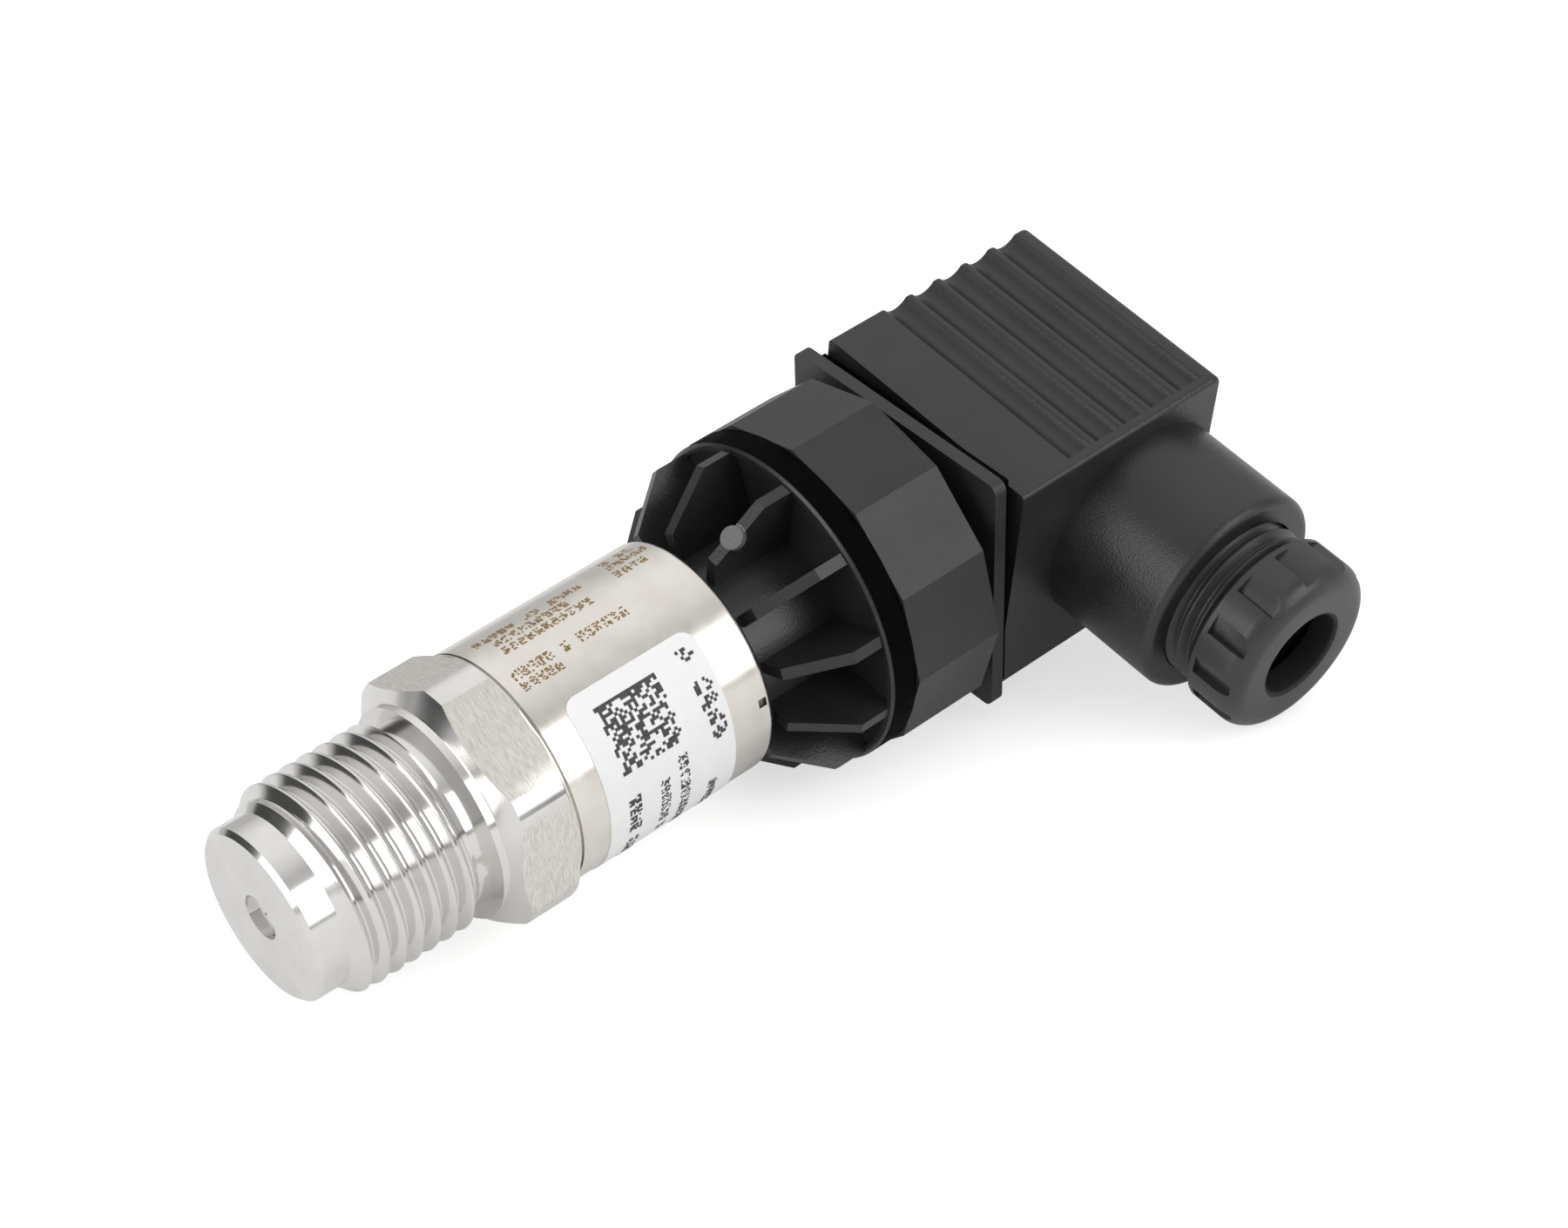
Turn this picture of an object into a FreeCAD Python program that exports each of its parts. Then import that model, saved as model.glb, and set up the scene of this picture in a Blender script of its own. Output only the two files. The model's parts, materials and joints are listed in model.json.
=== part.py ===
import FreeCAD, Part
import math
import os
import Sketcher

# Pressure transmitter with a threaded steel process connection, a welded case tube, a ribbed
# plastic adapter and an angled four-pole plug connector.
#
# Every piece is drawn in the object's own frame: X runs along the main axis from the tip of
# the process connection to the plug, Y and Z across it, and the cable leaves towards -Y.
# The last section lays the whole object on its side, as it comes to rest on a flat surface.

doc = FreeCAD.newDocument("pressure_transmitter")

# ---------------------------------------------------------------- driving dimensions, mm and degrees

SIZES = [
    # used by several pieces
    ("fit_gap", 0.02, "room between pieces that are pressed or stacked together"),
    ("seat_gap", 0.01, "room between faces that seat on each other"),
    ("root_sink", 0.5, "how deep a raised feature is rooted in what it stands on"),
    ("tool_lead", 0.1, "how far outside the solid a cut begins"),
    # process connection, G 1/2 pipe thread, one turned steel piece
    ("pilot_radius", 8.82, "plain nose in front of the thread"),
    ("pilot_length", 3.2, "length of the nose"),
    ("nose_chamfer", 0.45, "broken edge of the nose"),
    ("port_radius", 2.25, "pressure port"),
    ("thread_radius", 10.4775, "major radius of the pipe thread"),
    ("thread_start", 4.1, "first full turn"),
    ("thread_end", 16.6, "last full turn"),
    ("thread_runout", 0.6, "slope behind the last turn"),
    ("neck_radius", 9.3, "undercut behind the thread"),
    ("neck_end", 18.7, "undercut meets the sealing ring"),
    ("ring_radius", 10.9, "sealing ring in front of the hexagon"),
    ("ring_end", 19.5, "sealing ring meets the hexagon"),
    ("hex_flats", 24, "width across the flats"),
    ("hex_corner", 13.45, "turned radius over the corners"),
    ("hex_lead", 1.4, "length of the front chamfer"),
    ("hex_back", 0.8, "length of the rear chamfer"),
    ("hex_end", 26.5, "rear face of the hexagon"),
    ("weld_step", 0.35, "depth of the step between hexagon and tube"),
    ("hex_clock", 22.3, "angle of one corner from +Y, degrees"),
    ("spigot_end", 30, "rear end of the spigot inside the tube"),
    ("cell_pocket", 9, "radius of the pocket for the pressure cell"),
    ("cell_floor", 20.2, "floor of that pocket"),
    # case tube
    ("tube_radius", 12.15, "outside of the tube"),
    ("tube_wall", 1, "wall"),
    ("tube_start", 26.9, "front end, welded to the hexagon"),
    ("tube_end", 49.74, "rolled rear end"),
    ("lip_radius", 9.9, "opening of the rolled lip"),
    ("roll_radius", 0.75, "round of the rolled edge"),
    ("crimp_place", 48.1, "front end of the crimp mark near the rolled edge"),
    ("crimp_length", 0.9, "length of that mark"),
    ("crimp_width", 0.9, "its width"),
    ("crimp_depth", 0.3, "its depth"),
    ("crimp_clock", 160, "its angle from +Y, degrees"),
    # label on the tube
    ("label_start", 30, "front edge"),
    ("label_length", 14.8, "along the tube"),
    ("label_from", 112.5, "first edge, degrees from +Y"),
    ("label_sweep", 150, "angle that it wraps"),
    ("label_skin", 0.12, "thickness"),
    ("label_round", 1.5, "round of its corners"),
    # pressure cell and electronics, sealed in the case
    ("cell_radius", 8.9, "steel pressure cell"),
    ("cell_start", 21.3, "front of the cell"),
    ("cell_end", 25.9, "rear of the cell"),
    ("membrane_radius", 4, "recess of the membrane"),
    ("membrane_sink", 0.8, "depth of that recess"),
    ("header_radius", 5, "glass-sealed header behind the cell"),
    ("header_length", 1, "length of the header"),
    ("seal_radius", 5.5, "centre line of the cell's ring seal"),
    ("seal_section", 0.55, "half thickness of that seal"),
    ("retainer_bore", 5.6, "opening of the ring that holds the cell"),
    ("retainer_end", 29, "rear of that ring"),
    ("board_start", 31, "front edge of the circuit board"),
    ("board_length", 11.5, "along the axis"),
    ("board_width", 17, "across"),
    ("board_skin", 1.6, "thickness"),
    ("part_front", 1.7, "first component from the board's front edge"),
    ("part_pitch", 4.8, "from the first component to the second"),
    ("chip_length", 3.8, "amplifier chip"),
    ("chip_width", 4.6, "width of a chip"),
    ("chip_height", 1.3, "height of a chip"),
    ("chip_across", 3, "distance of a chip from the board's middle"),
    ("cap_length", 2, "capacitor"),
    ("cap_width", 1.2, "width of a capacitor"),
    ("cap_height", 1, "height of a capacitor"),
    ("cap_across", 4.5, "distance of a capacitor from the middle"),
    ("pin_pitch", 2, "distance between the header's pins"),
    ("pin_radius", 0.3, "wire on a pin"),
    ("wire_radius", 0.45, "wire to a contact blade"),
    ("solder_gap", 0.1, "between the end of a slanting wire and its blade"),
    ("wire_circle", 4.2, "where those wires leave the board, from the axis"),
    ("tail_circle", 8.6, "where they reach the blades, from the axis"),
    # ribbed adapter
    ("spigot_radius", 11.05, "adapter spigot inside the tube"),
    ("spigot_start", 43.2, "front end of that spigot"),
    ("spigot_rear", 48.5, "shoulder behind the rolled lip"),
    ("groove_radius", 9.6, "floor of the ring seal's groove"),
    ("groove_start", 45, "front wall of the groove"),
    ("groove_width", 2, "width of the groove"),
    ("hub_radius", 9.3, "hub that carries the ribs"),
    ("hub_bore", 7.6, "way through for the leads"),
    ("disc_front", 60, "front of the rim"),
    ("disc_sink", 0.45, "depth of the web below the rim"),
    ("disc_rear", 61.4, "rear of the disc"),
    ("disc_radius", 17.05, "outside of the rim"),
    ("rim_width", 0.8, "width of the rim"),
    ("rim_break", 0.25, "broken edge of the rim"),
    ("rib_clock", 2.8, "angle of one rib from +Y, degrees"),
    ("rib_count", 12, "ribs round the hub"),
    ("rib_skin", 1.2, "thickness of a rib"),
    ("rib_front", 51.3, "front end of a rib"),
    ("rib_low", 12.2, "height of its front corner"),
    ("rib_bend", 56.7, "where its edge turns level"),
    ("rib_high", 16.6, "height at the disc"),
    ("rib_rear_gap", 0.3, "rear end of a rib, inside the disc"),
    ("mark_number", 3, "rib that carries the ejector mark, counted from the first"),
    ("mark_radius", 1.15, "round mark of the ejector pin"),
    ("mark_place", 2.9, "along the slope of the rib, from its front corner"),
    ("mark_height", 0.2, "how far the mark stands proud"),
    ("mark_depth", 0.9, "how deep the mark reaches into the rib"),
    ("stud_radius", 13, "threaded stud behind the disc"),
    ("stud_end", 71.5, "rear end of that stud"),
    ("stud_bore", 11, "bore of that stud"),
    ("stud_floor", 1.5, "floor of that bore, behind the disc"),
    ("stud_room", 0.3, "free space behind the stud"),
    # plug base, screwed on the adapter: twelve-sided collar with a square flange
    ("base_clock", -6.7, "turn of the base against the plug, degrees"),
    ("collar_start", 63, "front face of the collar"),
    ("collar_end", 73.2, "rear face of the collar"),
    ("collar_corner", 17.54, "radius over the twelve corners"),
    ("collar_bore", 13.1, "bore that screws over the stud"),
    ("waist_radius", 12.4, "waist between collar and flange"),
    ("flange_start", 75.7, "front face of the flange"),
    ("flange_end", 77.1, "rear face of the flange"),
    ("flange_half", 14.17, "half width of the flange"),
    ("flange_round", 2.2, "corner radius of the flange"),
    ("post_half", 5.5, "half width of the post behind the flange"),
    ("post_length", 1.8, "how far the post stands out"),
    ("lead_room", 2, "depth of the space for the leads"),
    ("slot_depth", 6, "depth of a blade's slot"),
    ("ring_seal_outer", 16.95, "black ring between disc and collar"),
    ("ring_seal_inner", 13.3, "its opening"),
    # contact blades, 6.3 x 0.8 on an 18 mm square
    ("blade_offset", 9, "distance from the axis"),
    ("blade_width", 6.3, "width"),
    ("blade_skin", 0.8, "thickness"),
    ("blade_front", 71, "solder end"),
    ("blade_rear", 88.5, "tip"),
    ("blade_slot", 0.03, "room round a blade in the base"),
    ("blade_nose", 1.2, "bevel of the tip"),
    ("tail_length", 2.5, "narrow solder tail"),
    ("tail_half", 1.5, "half width of that tail"),
    ("earth_extra", 1, "how much longer the earth blade is"),
    ("earth_quarter", 270, "place of the earth blade, degrees from +Z"),
    # flat gasket
    ("gasket_end", 78.6, "rear face"),
    ("gasket_half", 12.9, "half width outside"),
    ("gasket_open", 10.7, "half width of the opening"),
    # plug housing
    ("box_front", 78.65, "front face"),
    ("box_rear", 105.39, "rear face"),
    ("box_left", 14, "side away from the cable"),
    ("box_right", 13.5, "side of the cable, towards -Y"),
    ("box_half", 13.5, "half height"),
    ("box_wall", 1.9, "wall"),
    ("box_back", 2.5, "rear wall"),
    ("edge_round", 0.5, "round of the long edges"),
    ("rear_round", 1.1, "round of the rear edges"),
    ("wave_first", 87.15, "axis of the first finger groove"),
    ("wave_pitch", 3.7, "distance between grooves"),
    ("wave_count", 5, "grooves"),
    ("wave_radius", 1.75, "radius of a groove"),
    ("wave_depth", 0.85, "depth of a groove"),
    ("wave_stop", 12.3, "where a groove stops short of the cable side"),
    ("wave_round", 0.45, "round of the crests"),
    ("gland_place", 95.26, "place of the cable axis along the main axis"),
    ("gland_radius", 11.18, "outside of the gland neck"),
    ("gland_reach", 26.8, "end of the neck from the main axis"),
    ("gland_root", 11.9, "where the neck starts inside the box"),
    ("neck_round", 1, "round of the neck's outer edge"),
    ("gland_bore", 8.7, "threaded bore of the neck"),
    ("gland_seat", 13.6, "floor of that bore"),
    ("gland_way", 5.6, "way through the floor"),
    ("boss_radius", 4.2, "boss round the fixing screw"),
    ("boss_front", 97.5, "front end of that boss"),
    ("recess_radius", 3.3, "recess of the screw head"),
    ("recess_floor", 102.2, "floor of the recess"),
    ("boss_root", 1, "how deep the boss is rooted in the rear wall"),
    ("screw_way", 1.7, "hole for the screw in the boss"),
    # terminal block in the housing
    ("block_front", 79.3, "front face"),
    ("block_rear", 94, "rear face"),
    ("block_half", 10.4, "half width"),
    ("block_cut", 3, "cut corner"),
    ("block_bore", 2.1, "way through for the fixing screw"),
    ("socket_front", 82, "front end of a contact socket"),
    ("socket_width", 6.9, "width of a contact socket"),
    ("socket_skin", 2.4, "thickness of a contact socket"),
    ("socket_room", 0.1, "room round a socket in its chamber"),
    ("socket_reach", 1.5, "room beyond the tip of a signal blade"),
    ("blade_room", 0.1, "room round a blade in its socket"),
    ("clamp_radius", 1.4, "terminal screw"),
    ("clamp_length", 1.6, "height of its head"),
    ("clamp_inset", 0.6, "nearer to the axis than the blade"),
    ("clamp_slot_depth", 0.6, "depth of its slot"),
    ("clamp_slot_width", 0.5, "width of its slot"),
    # fixing screw, M3
    ("screw_radius", 1.45, "shank"),
    ("screw_tip", 75.2, "front end"),
    ("screw_break", 0.4, "bevel of its tip"),
    ("insert_radius", 2.6, "threaded brass insert"),
    ("insert_sink", 2.5, "how deep it sits below the flange's rear face"),
    ("insert_bore", 1.5, "its thread"),
    ("head_radius", 2.9, "head"),
    ("head_length", 2.2, "length of the head"),
    ("head_break", 0.3, "bevel of the head"),
    ("driver_depth", 1.1, "depth of the driver slot"),
    ("driver_width", 0.8, "width of the driver slot"),
    ("washer_skin", 0.5, "seal under the head"),
    ("washer_bore", 1.53, "opening of that seal"),
    # cable gland, measured outwards from the main axis
    ("grommet_radius", 8.3, "rubber grommet"),
    ("grommet_bore", 4.75, "its opening"),
    ("grommet_end", 18.6, "outer face"),
    ("grommet_break", 0.5, "bevel of its edges"),
    ("slip_start", 22.4, "inner face of the slip washer"),
    ("slip_end", 23.4, "outer face of the slip washer"),
    ("slip_bore", 5.2, "opening of the slip washer"),
    ("press_shank", 8.62, "threaded shank of the pressure screw"),
    ("shank_break", 0.5, "bevel of the shank's tip"),
    ("press_shoulder", 30.4, "rear of its head"),
    ("shoulder_break", 0.25, "broken rear edge of the head"),
    ("press_end", 36.5, "front face"),
    ("press_radius", 9.45, "outside of the head"),
    ("press_bore", 4.6, "opening for the cable"),
    ("press_inner", 5.6, "bore of the shank"),
    ("press_lip", 2.8, "length of the narrow mouth"),
    ("lip_cone", 1, "slope behind the mouth"),
    ("press_mouth", 0.4, "round of the mouth"),
    ("press_dome", 2.2, "rounding of the front"),
    ("grip_count", 12, "grip notches round the head"),
    ("grip_start", 31.2, "rear end of a notch"),
    ("grip_end", 35.6, "front end of a notch"),
    ("grip_steep", 0.35, "steep wall, on the side against the closing turn"),
    ("grip_shallow", 2.4, "where the floor has risen to the surface"),
    ("grip_depth", 0.75, "depth at the steep wall"),
    # how the object lies
    ("rest_roll", 19.247, "roll about the main axis, degrees; the cable gland goes down"),
    ("rest_pitch", 5.435, "the nose points down by this angle, degrees"),
]

sheet = doc.addObject("Spreadsheet::Sheet", "dim")
for row, (alias, number, note) in enumerate(SIZES, start=1):
    sheet.set("A%d" % row, alias)
    sheet.set("B%d" % row, str(number))
    sheet.set("C%d" % row, note)
    sheet.setAlias("B%d" % row, alias)
doc.recompute()


def value(expression):
    """Number that an expression on the sheet has now."""
    result = sheet.evalExpression(str(expression))
    return float(getattr(result, "Value", result))


# ---------------------------------------------------------------- ways of making a piece

pieces = []
NOTHING = 1e-7
SAME_PLACE = 0.02
ALONG = 0.999


def new_body(label):
    """A piece made of features; its label names the node."""
    body = doc.addObject("PartDesign::Body", label)
    body.Label = label
    body.AllowCompound = True
    pieces.append(body)
    return body


def new_sketch(body, name, role, offset="0"):
    """A sketch on one of the body's own planes, moved along the plane's normal."""
    sketch = body.newObject("Sketcher::SketchObject", name)
    plane = [feature for feature in body.Origin.OriginFeatures if feature.Role == role][0]
    sketch.AttachmentSupport = [(plane, "")]
    sketch.MapMode = "FlatFace"
    sketch.setExpression("AttachmentOffset.Base.z", offset)
    sketch.Visibility = False
    return sketch


def drive(sketch, kind, edge, expression):
    """Tie the start of an edge to the sheet along one direction."""
    number = value(expression)
    if abs(number) < NOTHING:
        axis = -2 if kind == "DistanceX" else -1
        sketch.addConstraint(Sketcher.Constraint("PointOnObject", edge, 1, axis))
        return
    index = sketch.addConstraint(Sketcher.Constraint(kind, -1, 1, edge, 1, number))
    sketch.setExpression("Constraints[%d]" % index, expression)


def outline(sketch, corners):
    """A closed outline of straight edges through corners given as expressions."""
    first = sketch.GeometryCount
    points = [FreeCAD.Vector(value(across), value(up), 0) for across, up in corners]
    count = len(points)
    for number, point in enumerate(points):
        following = points[(number + 1) % count]
        sketch.addGeometry(Part.LineSegment(point, following), False)
    for number in range(count):
        following = (number + 1) % count
        joined = Sketcher.Constraint("Coincident", first + number, 2, first + following, 1)
        sketch.addConstraint(joined)
    for number, (across, up) in enumerate(corners):
        drive(sketch, "DistanceX", first + number, across)
        drive(sketch, "DistanceY", first + number, up)


def circle(sketch, radius, across="0", up="0"):
    """A circle whose centre and radius come from the sheet."""
    centre = FreeCAD.Vector(value(across), value(up), 0)
    edge = sketch.addGeometry(Part.Circle(centre, FreeCAD.Vector(0, 0, 1), value(radius)), False)
    index = sketch.addConstraint(Sketcher.Constraint("Radius", edge, value(radius)))
    sketch.setExpression("Constraints[%d]" % index, radius)
    for kind, expression in (("DistanceX", across), ("DistanceY", up)):
        number = value(expression)
        if abs(number) < NOTHING:
            axis = -2 if kind == "DistanceX" else -1
            sketch.addConstraint(Sketcher.Constraint("PointOnObject", edge, 3, axis))
        else:
            index = sketch.addConstraint(Sketcher.Constraint(kind, -1, 1, edge, 3, number))
            sketch.setExpression("Constraints[%d]" % index, expression)


def rectangle(sketch, low_across, high_across, low_up, high_up):
    """A rectangle between four sheet values."""
    outline(sketch, [
        (low_across, low_up), (high_across, low_up), (high_across, high_up), (low_across, high_up),
    ])


def polygon(sketch, count, corner_radius, clock="0"):
    """A regular outline whose first corner stands at the given angle."""
    corners = []
    for number in range(count):
        angle = "(%s + %d) * 1deg" % (clock, number * 360 // count)
        corners.append(("%s * cos(%s)" % (corner_radius, angle), "%s * sin(%s)" % (corner_radius, angle)))
    outline(sketch, corners)


def turned(body, name, corners, cut=False):
    """Turn an outline of (along, radius) corners about the body's X axis."""
    sketch = new_sketch(body, name + "_outline", "XY_Plane")
    outline(sketch, corners)
    feature = body.newObject("PartDesign::Groove" if cut else "PartDesign::Revolution", name)
    feature.Profile = sketch
    feature.ReferenceAxis = (sketch, ["H_Axis"])
    feature.Angle = 360
    return feature


def pad(body, name, role, offset, length, draw):
    """Raise what `draw` draws along the plane's normal."""
    sketch = new_sketch(body, name + "_outline", role, offset)
    draw(sketch)
    feature = body.newObject("PartDesign::Pad", name)
    feature.Profile = sketch
    feature.setExpression("Length", length)
    return feature


def pocket(body, name, role, offset, length, draw):
    """Cut what `draw` draws against the plane's normal."""
    sketch = new_sketch(body, name + "_outline", role, offset)
    draw(sketch)
    feature = body.newObject("PartDesign::Pocket", name)
    feature.Profile = sketch
    feature.setExpression("Length", length)
    return feature


def around(body, name, feature, count):
    """Repeat a feature evenly round the body's X axis."""
    pattern = body.newObject("PartDesign::PolarPattern", name)
    axis = [item for item in body.Origin.OriginFeatures if item.Role == "X_Axis"][0]
    pattern.Originals = [feature]
    pattern.Axis = (axis, [""])
    pattern.Angle = 360
    pattern.setExpression("Occurrences", count)
    body.Tip = pattern
    return pattern


def rounded(body, name, base, radius, wanted):
    """Round those edges of a feature that `wanted` picks."""
    doc.recompute()
    chosen = ["Edge%d" % (number + 1) for number, edge in enumerate(base.Shape.Edges) if wanted(edge)]
    fillet = body.newObject("PartDesign::Fillet", name)
    fillet.Base = (base, chosen)
    fillet.setExpression("Radius", radius)
    return fillet


def near(one, other):
    """Whether two measures are the same place."""
    return abs(one - other) < SAME_PLACE


def runs_along(edge, axis):
    """Whether a straight edge is parallel to an axis."""
    if not isinstance(edge.Curve, Part.Line):
        return False
    return abs(edge.Curve.Direction.dot(axis)) > ALONG


def solid_group(label, shapes):
    """A piece made directly from one solid, or from a group of separate like solids."""
    feature = doc.addObject("Part::Feature", label)
    feature.Label = label
    feature.Shape = Part.makeCompound(shapes)
    pieces.append(feature)
    return feature


def rod(start, end, radius, across=0.0, up=0.0):
    """A round bar along X between two places."""
    return Part.makeCylinder(radius, end - start, FreeCAD.Vector(start, across, up), X_WAY)


def block(start, end, width, height, across=0.0, up=0.0):
    """A block along X, centred on a point across the axis."""
    corner = FreeCAD.Vector(start, across - width / 2, up - height / 2)
    return Part.makeBox(end - start, width, height, corner)


X_WAY = FreeCAD.Vector(1, 0, 0)
Y_WAY = FreeCAD.Vector(0, 1, 0)
Z_WAY = FreeCAD.Vector(0, 0, 1)
QUARTERS = (0, 90, 180, 270)
EIGHTH = 45
PIN_STEPS = (-1.5, -0.5, 0.5, 1.5)
UPWARDS = 90


# ---------------------------------------------------------------- process connection

def make_process_connection():
    """Nose, thread, undercut, sealing ring, hexagon and spigot, turned from one bar."""
    body = new_body("process_connection")
    turned(body, "TurnedBar", [
        ("0", "dim.port_radius"),
        ("0", "dim.pilot_radius - dim.nose_chamfer"),
        ("dim.nose_chamfer", "dim.pilot_radius"),
        ("dim.pilot_length", "dim.pilot_radius"),
        ("dim.thread_start", "dim.thread_radius"),
        ("dim.thread_end", "dim.thread_radius"),
        ("dim.thread_end + dim.thread_runout", "dim.neck_radius"),
        ("dim.neck_end", "dim.neck_radius"),
        ("dim.neck_end", "dim.ring_radius"),
        ("dim.ring_end", "dim.ring_radius"),
        ("dim.ring_end + dim.hex_lead", "dim.hex_corner"),
        ("dim.hex_end - dim.hex_back", "dim.hex_corner"),
        ("dim.hex_end", "dim.tube_radius"),
        ("dim.hex_end", "dim.tube_radius - dim.weld_step"),
        ("dim.tube_start", "dim.tube_radius - dim.weld_step"),
        ("dim.tube_start", "dim.tube_radius - dim.tube_wall - dim.fit_gap"),
        ("dim.spigot_end", "dim.tube_radius - dim.tube_wall - dim.fit_gap"),
        ("dim.spigot_end", "dim.cell_pocket"),
        ("dim.cell_floor", "dim.cell_pocket"),
        ("dim.cell_floor", "dim.port_radius"),
    ])

    def outside_hexagon(sketch):
        polygon(sketch, 6, "dim.hex_flats / 2 / cos(30deg)", "dim.hex_clock")
        circle(sketch, "dim.hex_flats")

    pocket(body, "SixFlats", "YZ_Plane", "dim.hex_end", "dim.hex_end - dim.ring_end", outside_hexagon)


def make_case_tube():
    """Thin steel tube, butted on the hexagon, with its rear end rolled over the adapter."""
    body = new_body("case_tube")
    shell = turned(body, "TubeWall", [
        ("dim.tube_start", "dim.tube_radius - dim.tube_wall"),
        ("dim.tube_start", "dim.tube_radius"),
        ("dim.tube_end", "dim.tube_radius"),
        ("dim.tube_end", "dim.lip_radius"),
        ("dim.tube_end - dim.tube_wall", "dim.lip_radius"),
        ("dim.tube_end - dim.tube_wall", "dim.tube_radius - dim.tube_wall"),
    ])
    rim = value("dim.tube_end")
    radius = value("dim.tube_radius")
    rounded(body, "RolledEdge", shell, "dim.roll_radius",
            lambda edge: near(edge.BoundBox.XMin, rim) and near(edge.BoundBox.YMax, radius))

    def crimp(sketch):
        rectangle(sketch, "dim.crimp_place", "dim.crimp_place + dim.crimp_length",
                  "-dim.crimp_width / 2", "dim.crimp_width / 2")

    pocket(body, "CrimpMark", "XY_Plane", "dim.tube_radius + dim.tool_lead",
           "dim.tool_lead + dim.crimp_depth", crimp)
    turn = value("dim.crimp_clock") - UPWARDS
    body.Placement = FreeCAD.Placement(FreeCAD.Vector(0, 0, 0), FreeCAD.Rotation(X_WAY, turn))


def make_case_label():
    """Thin wrap-around label with round corners, stuck on the tube."""
    body = new_body("case_label")
    wrap = turned(body, "Film", [
        ("dim.label_start", "dim.tube_radius"),
        ("dim.label_start", "dim.tube_radius + dim.label_skin"),
        ("dim.label_start + dim.label_length", "dim.tube_radius + dim.label_skin"),
        ("dim.label_start + dim.label_length", "dim.tube_radius"),
    ])
    wrap.setExpression("Angle", "dim.label_sweep")
    rounded(body, "FilmCorners", wrap, "dim.label_round",
            lambda edge: isinstance(edge.Curve, Part.Line) and not runs_along(edge, X_WAY))
    turn = FreeCAD.Rotation(X_WAY, value("dim.label_from"))
    body.Placement = FreeCAD.Placement(FreeCAD.Vector(0, 0, 0), turn)


# ---------------------------------------------------------------- pressure cell and electronics

def make_pressure_cell():
    """Steel capsule with a recessed membrane in front and a glass-sealed header behind."""
    body = new_body("pressure_cell")
    turned(body, "Capsule", [
        ("dim.cell_start + dim.membrane_sink", "0"),
        ("dim.cell_start + dim.membrane_sink", "dim.membrane_radius"),
        ("dim.cell_start", "dim.membrane_radius"),
        ("dim.cell_start", "dim.cell_radius"),
        ("dim.cell_end", "dim.cell_radius"),
        ("dim.cell_end", "dim.header_radius"),
        ("dim.cell_end + dim.header_length", "dim.header_radius"),
        ("dim.cell_end + dim.header_length", "0"),
    ])


def make_cell_seal():
    """Rubber ring between the pocket floor and the cell."""
    ring = doc.addObject("Part::Torus", "cell_seal")
    ring.Label = "cell_seal"
    ring.setExpression("Radius1", "dim.seal_radius")
    ring.setExpression("Radius2", "dim.seal_section - dim.seat_gap")
    middle = value("dim.cell_floor + dim.seal_section")
    ring.Placement = FreeCAD.Placement(FreeCAD.Vector(middle, 0, 0), FreeCAD.Rotation(Y_WAY, 90))
    pieces.append(ring)


def make_cell_retainer():
    """Threaded ring that presses the cell on its seal."""
    body = new_body("cell_retainer")
    turned(body, "ThreadedRing", [
        ("dim.cell_end + dim.fit_gap", "dim.retainer_bore"),
        ("dim.cell_end + dim.fit_gap", "dim.cell_radius"),
        ("dim.retainer_end", "dim.cell_radius"),
        ("dim.retainer_end", "dim.retainer_bore"),
    ])


def make_circuit_board():
    """Signal board, standing along the axis in the tube."""
    body = new_body("circuit_board")

    def board(sketch):
        rectangle(sketch, "dim.board_start", "dim.board_start + dim.board_length",
                  "-dim.board_width / 2", "dim.board_width / 2")

    pad(body, "Laminate", "XY_Plane", "-dim.board_skin / 2", "dim.board_skin", board)


def make_board_components():
    """Two amplifier chips and two capacitors on the board."""
    chips = []
    for kind, side in (("chip", 1), ("cap", -1)):
        length = value("dim.%s_length" % kind)
        width = value("dim.%s_width" % kind)
        height = value("dim.%s_height" % kind)
        away = value("dim.%s_across" % kind)
        up = side * (value("dim.board_skin / 2 + dim.seat_gap") + height / 2)
        for step, across in ((0, -away), (1, away)):
            start = value("dim.board_start + dim.part_front") + step * value("dim.part_pitch")
            chips.append(block(start, start + length, width, height, across, up))
    solid_group("board_components", chips)


def straight_lead(start, end, radius):
    """A short wire between two points."""
    way = end.sub(start)
    return Part.makeCylinder(radius, way.Length, start, way)


def make_leads():
    """Wires from the cell to the board, and from the board to the contact blades."""
    cell_face = value("dim.cell_end + dim.header_length + dim.fit_gap")
    board_front = value("dim.board_start - dim.fit_gap")
    board_rear = value("dim.board_start + dim.board_length + dim.fit_gap")
    blade_front = value("dim.blade_front - dim.solder_gap")
    front = []
    for step in PIN_STEPS:
        front.append(rod(cell_face, board_front, value("dim.pin_radius"), step * value("dim.pin_pitch")))
    solid_group("sensor_leads", front)
    inner = value("dim.wire_circle")
    outer = value("dim.tail_circle")
    rear = []
    for quarter in QUARTERS:
        angle = math.radians(quarter + EIGHTH)
        tail = math.radians(quarter + value("dim.base_clock"))
        start = FreeCAD.Vector(board_rear, inner * math.cos(angle), inner * math.sin(angle))
        end = FreeCAD.Vector(blade_front, outer * math.cos(tail), outer * math.sin(tail))
        rear.append(straight_lead(start, end, value("dim.wire_radius")))
    solid_group("plug_leads", rear)


# ---------------------------------------------------------------- ribbed adapter

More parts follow.
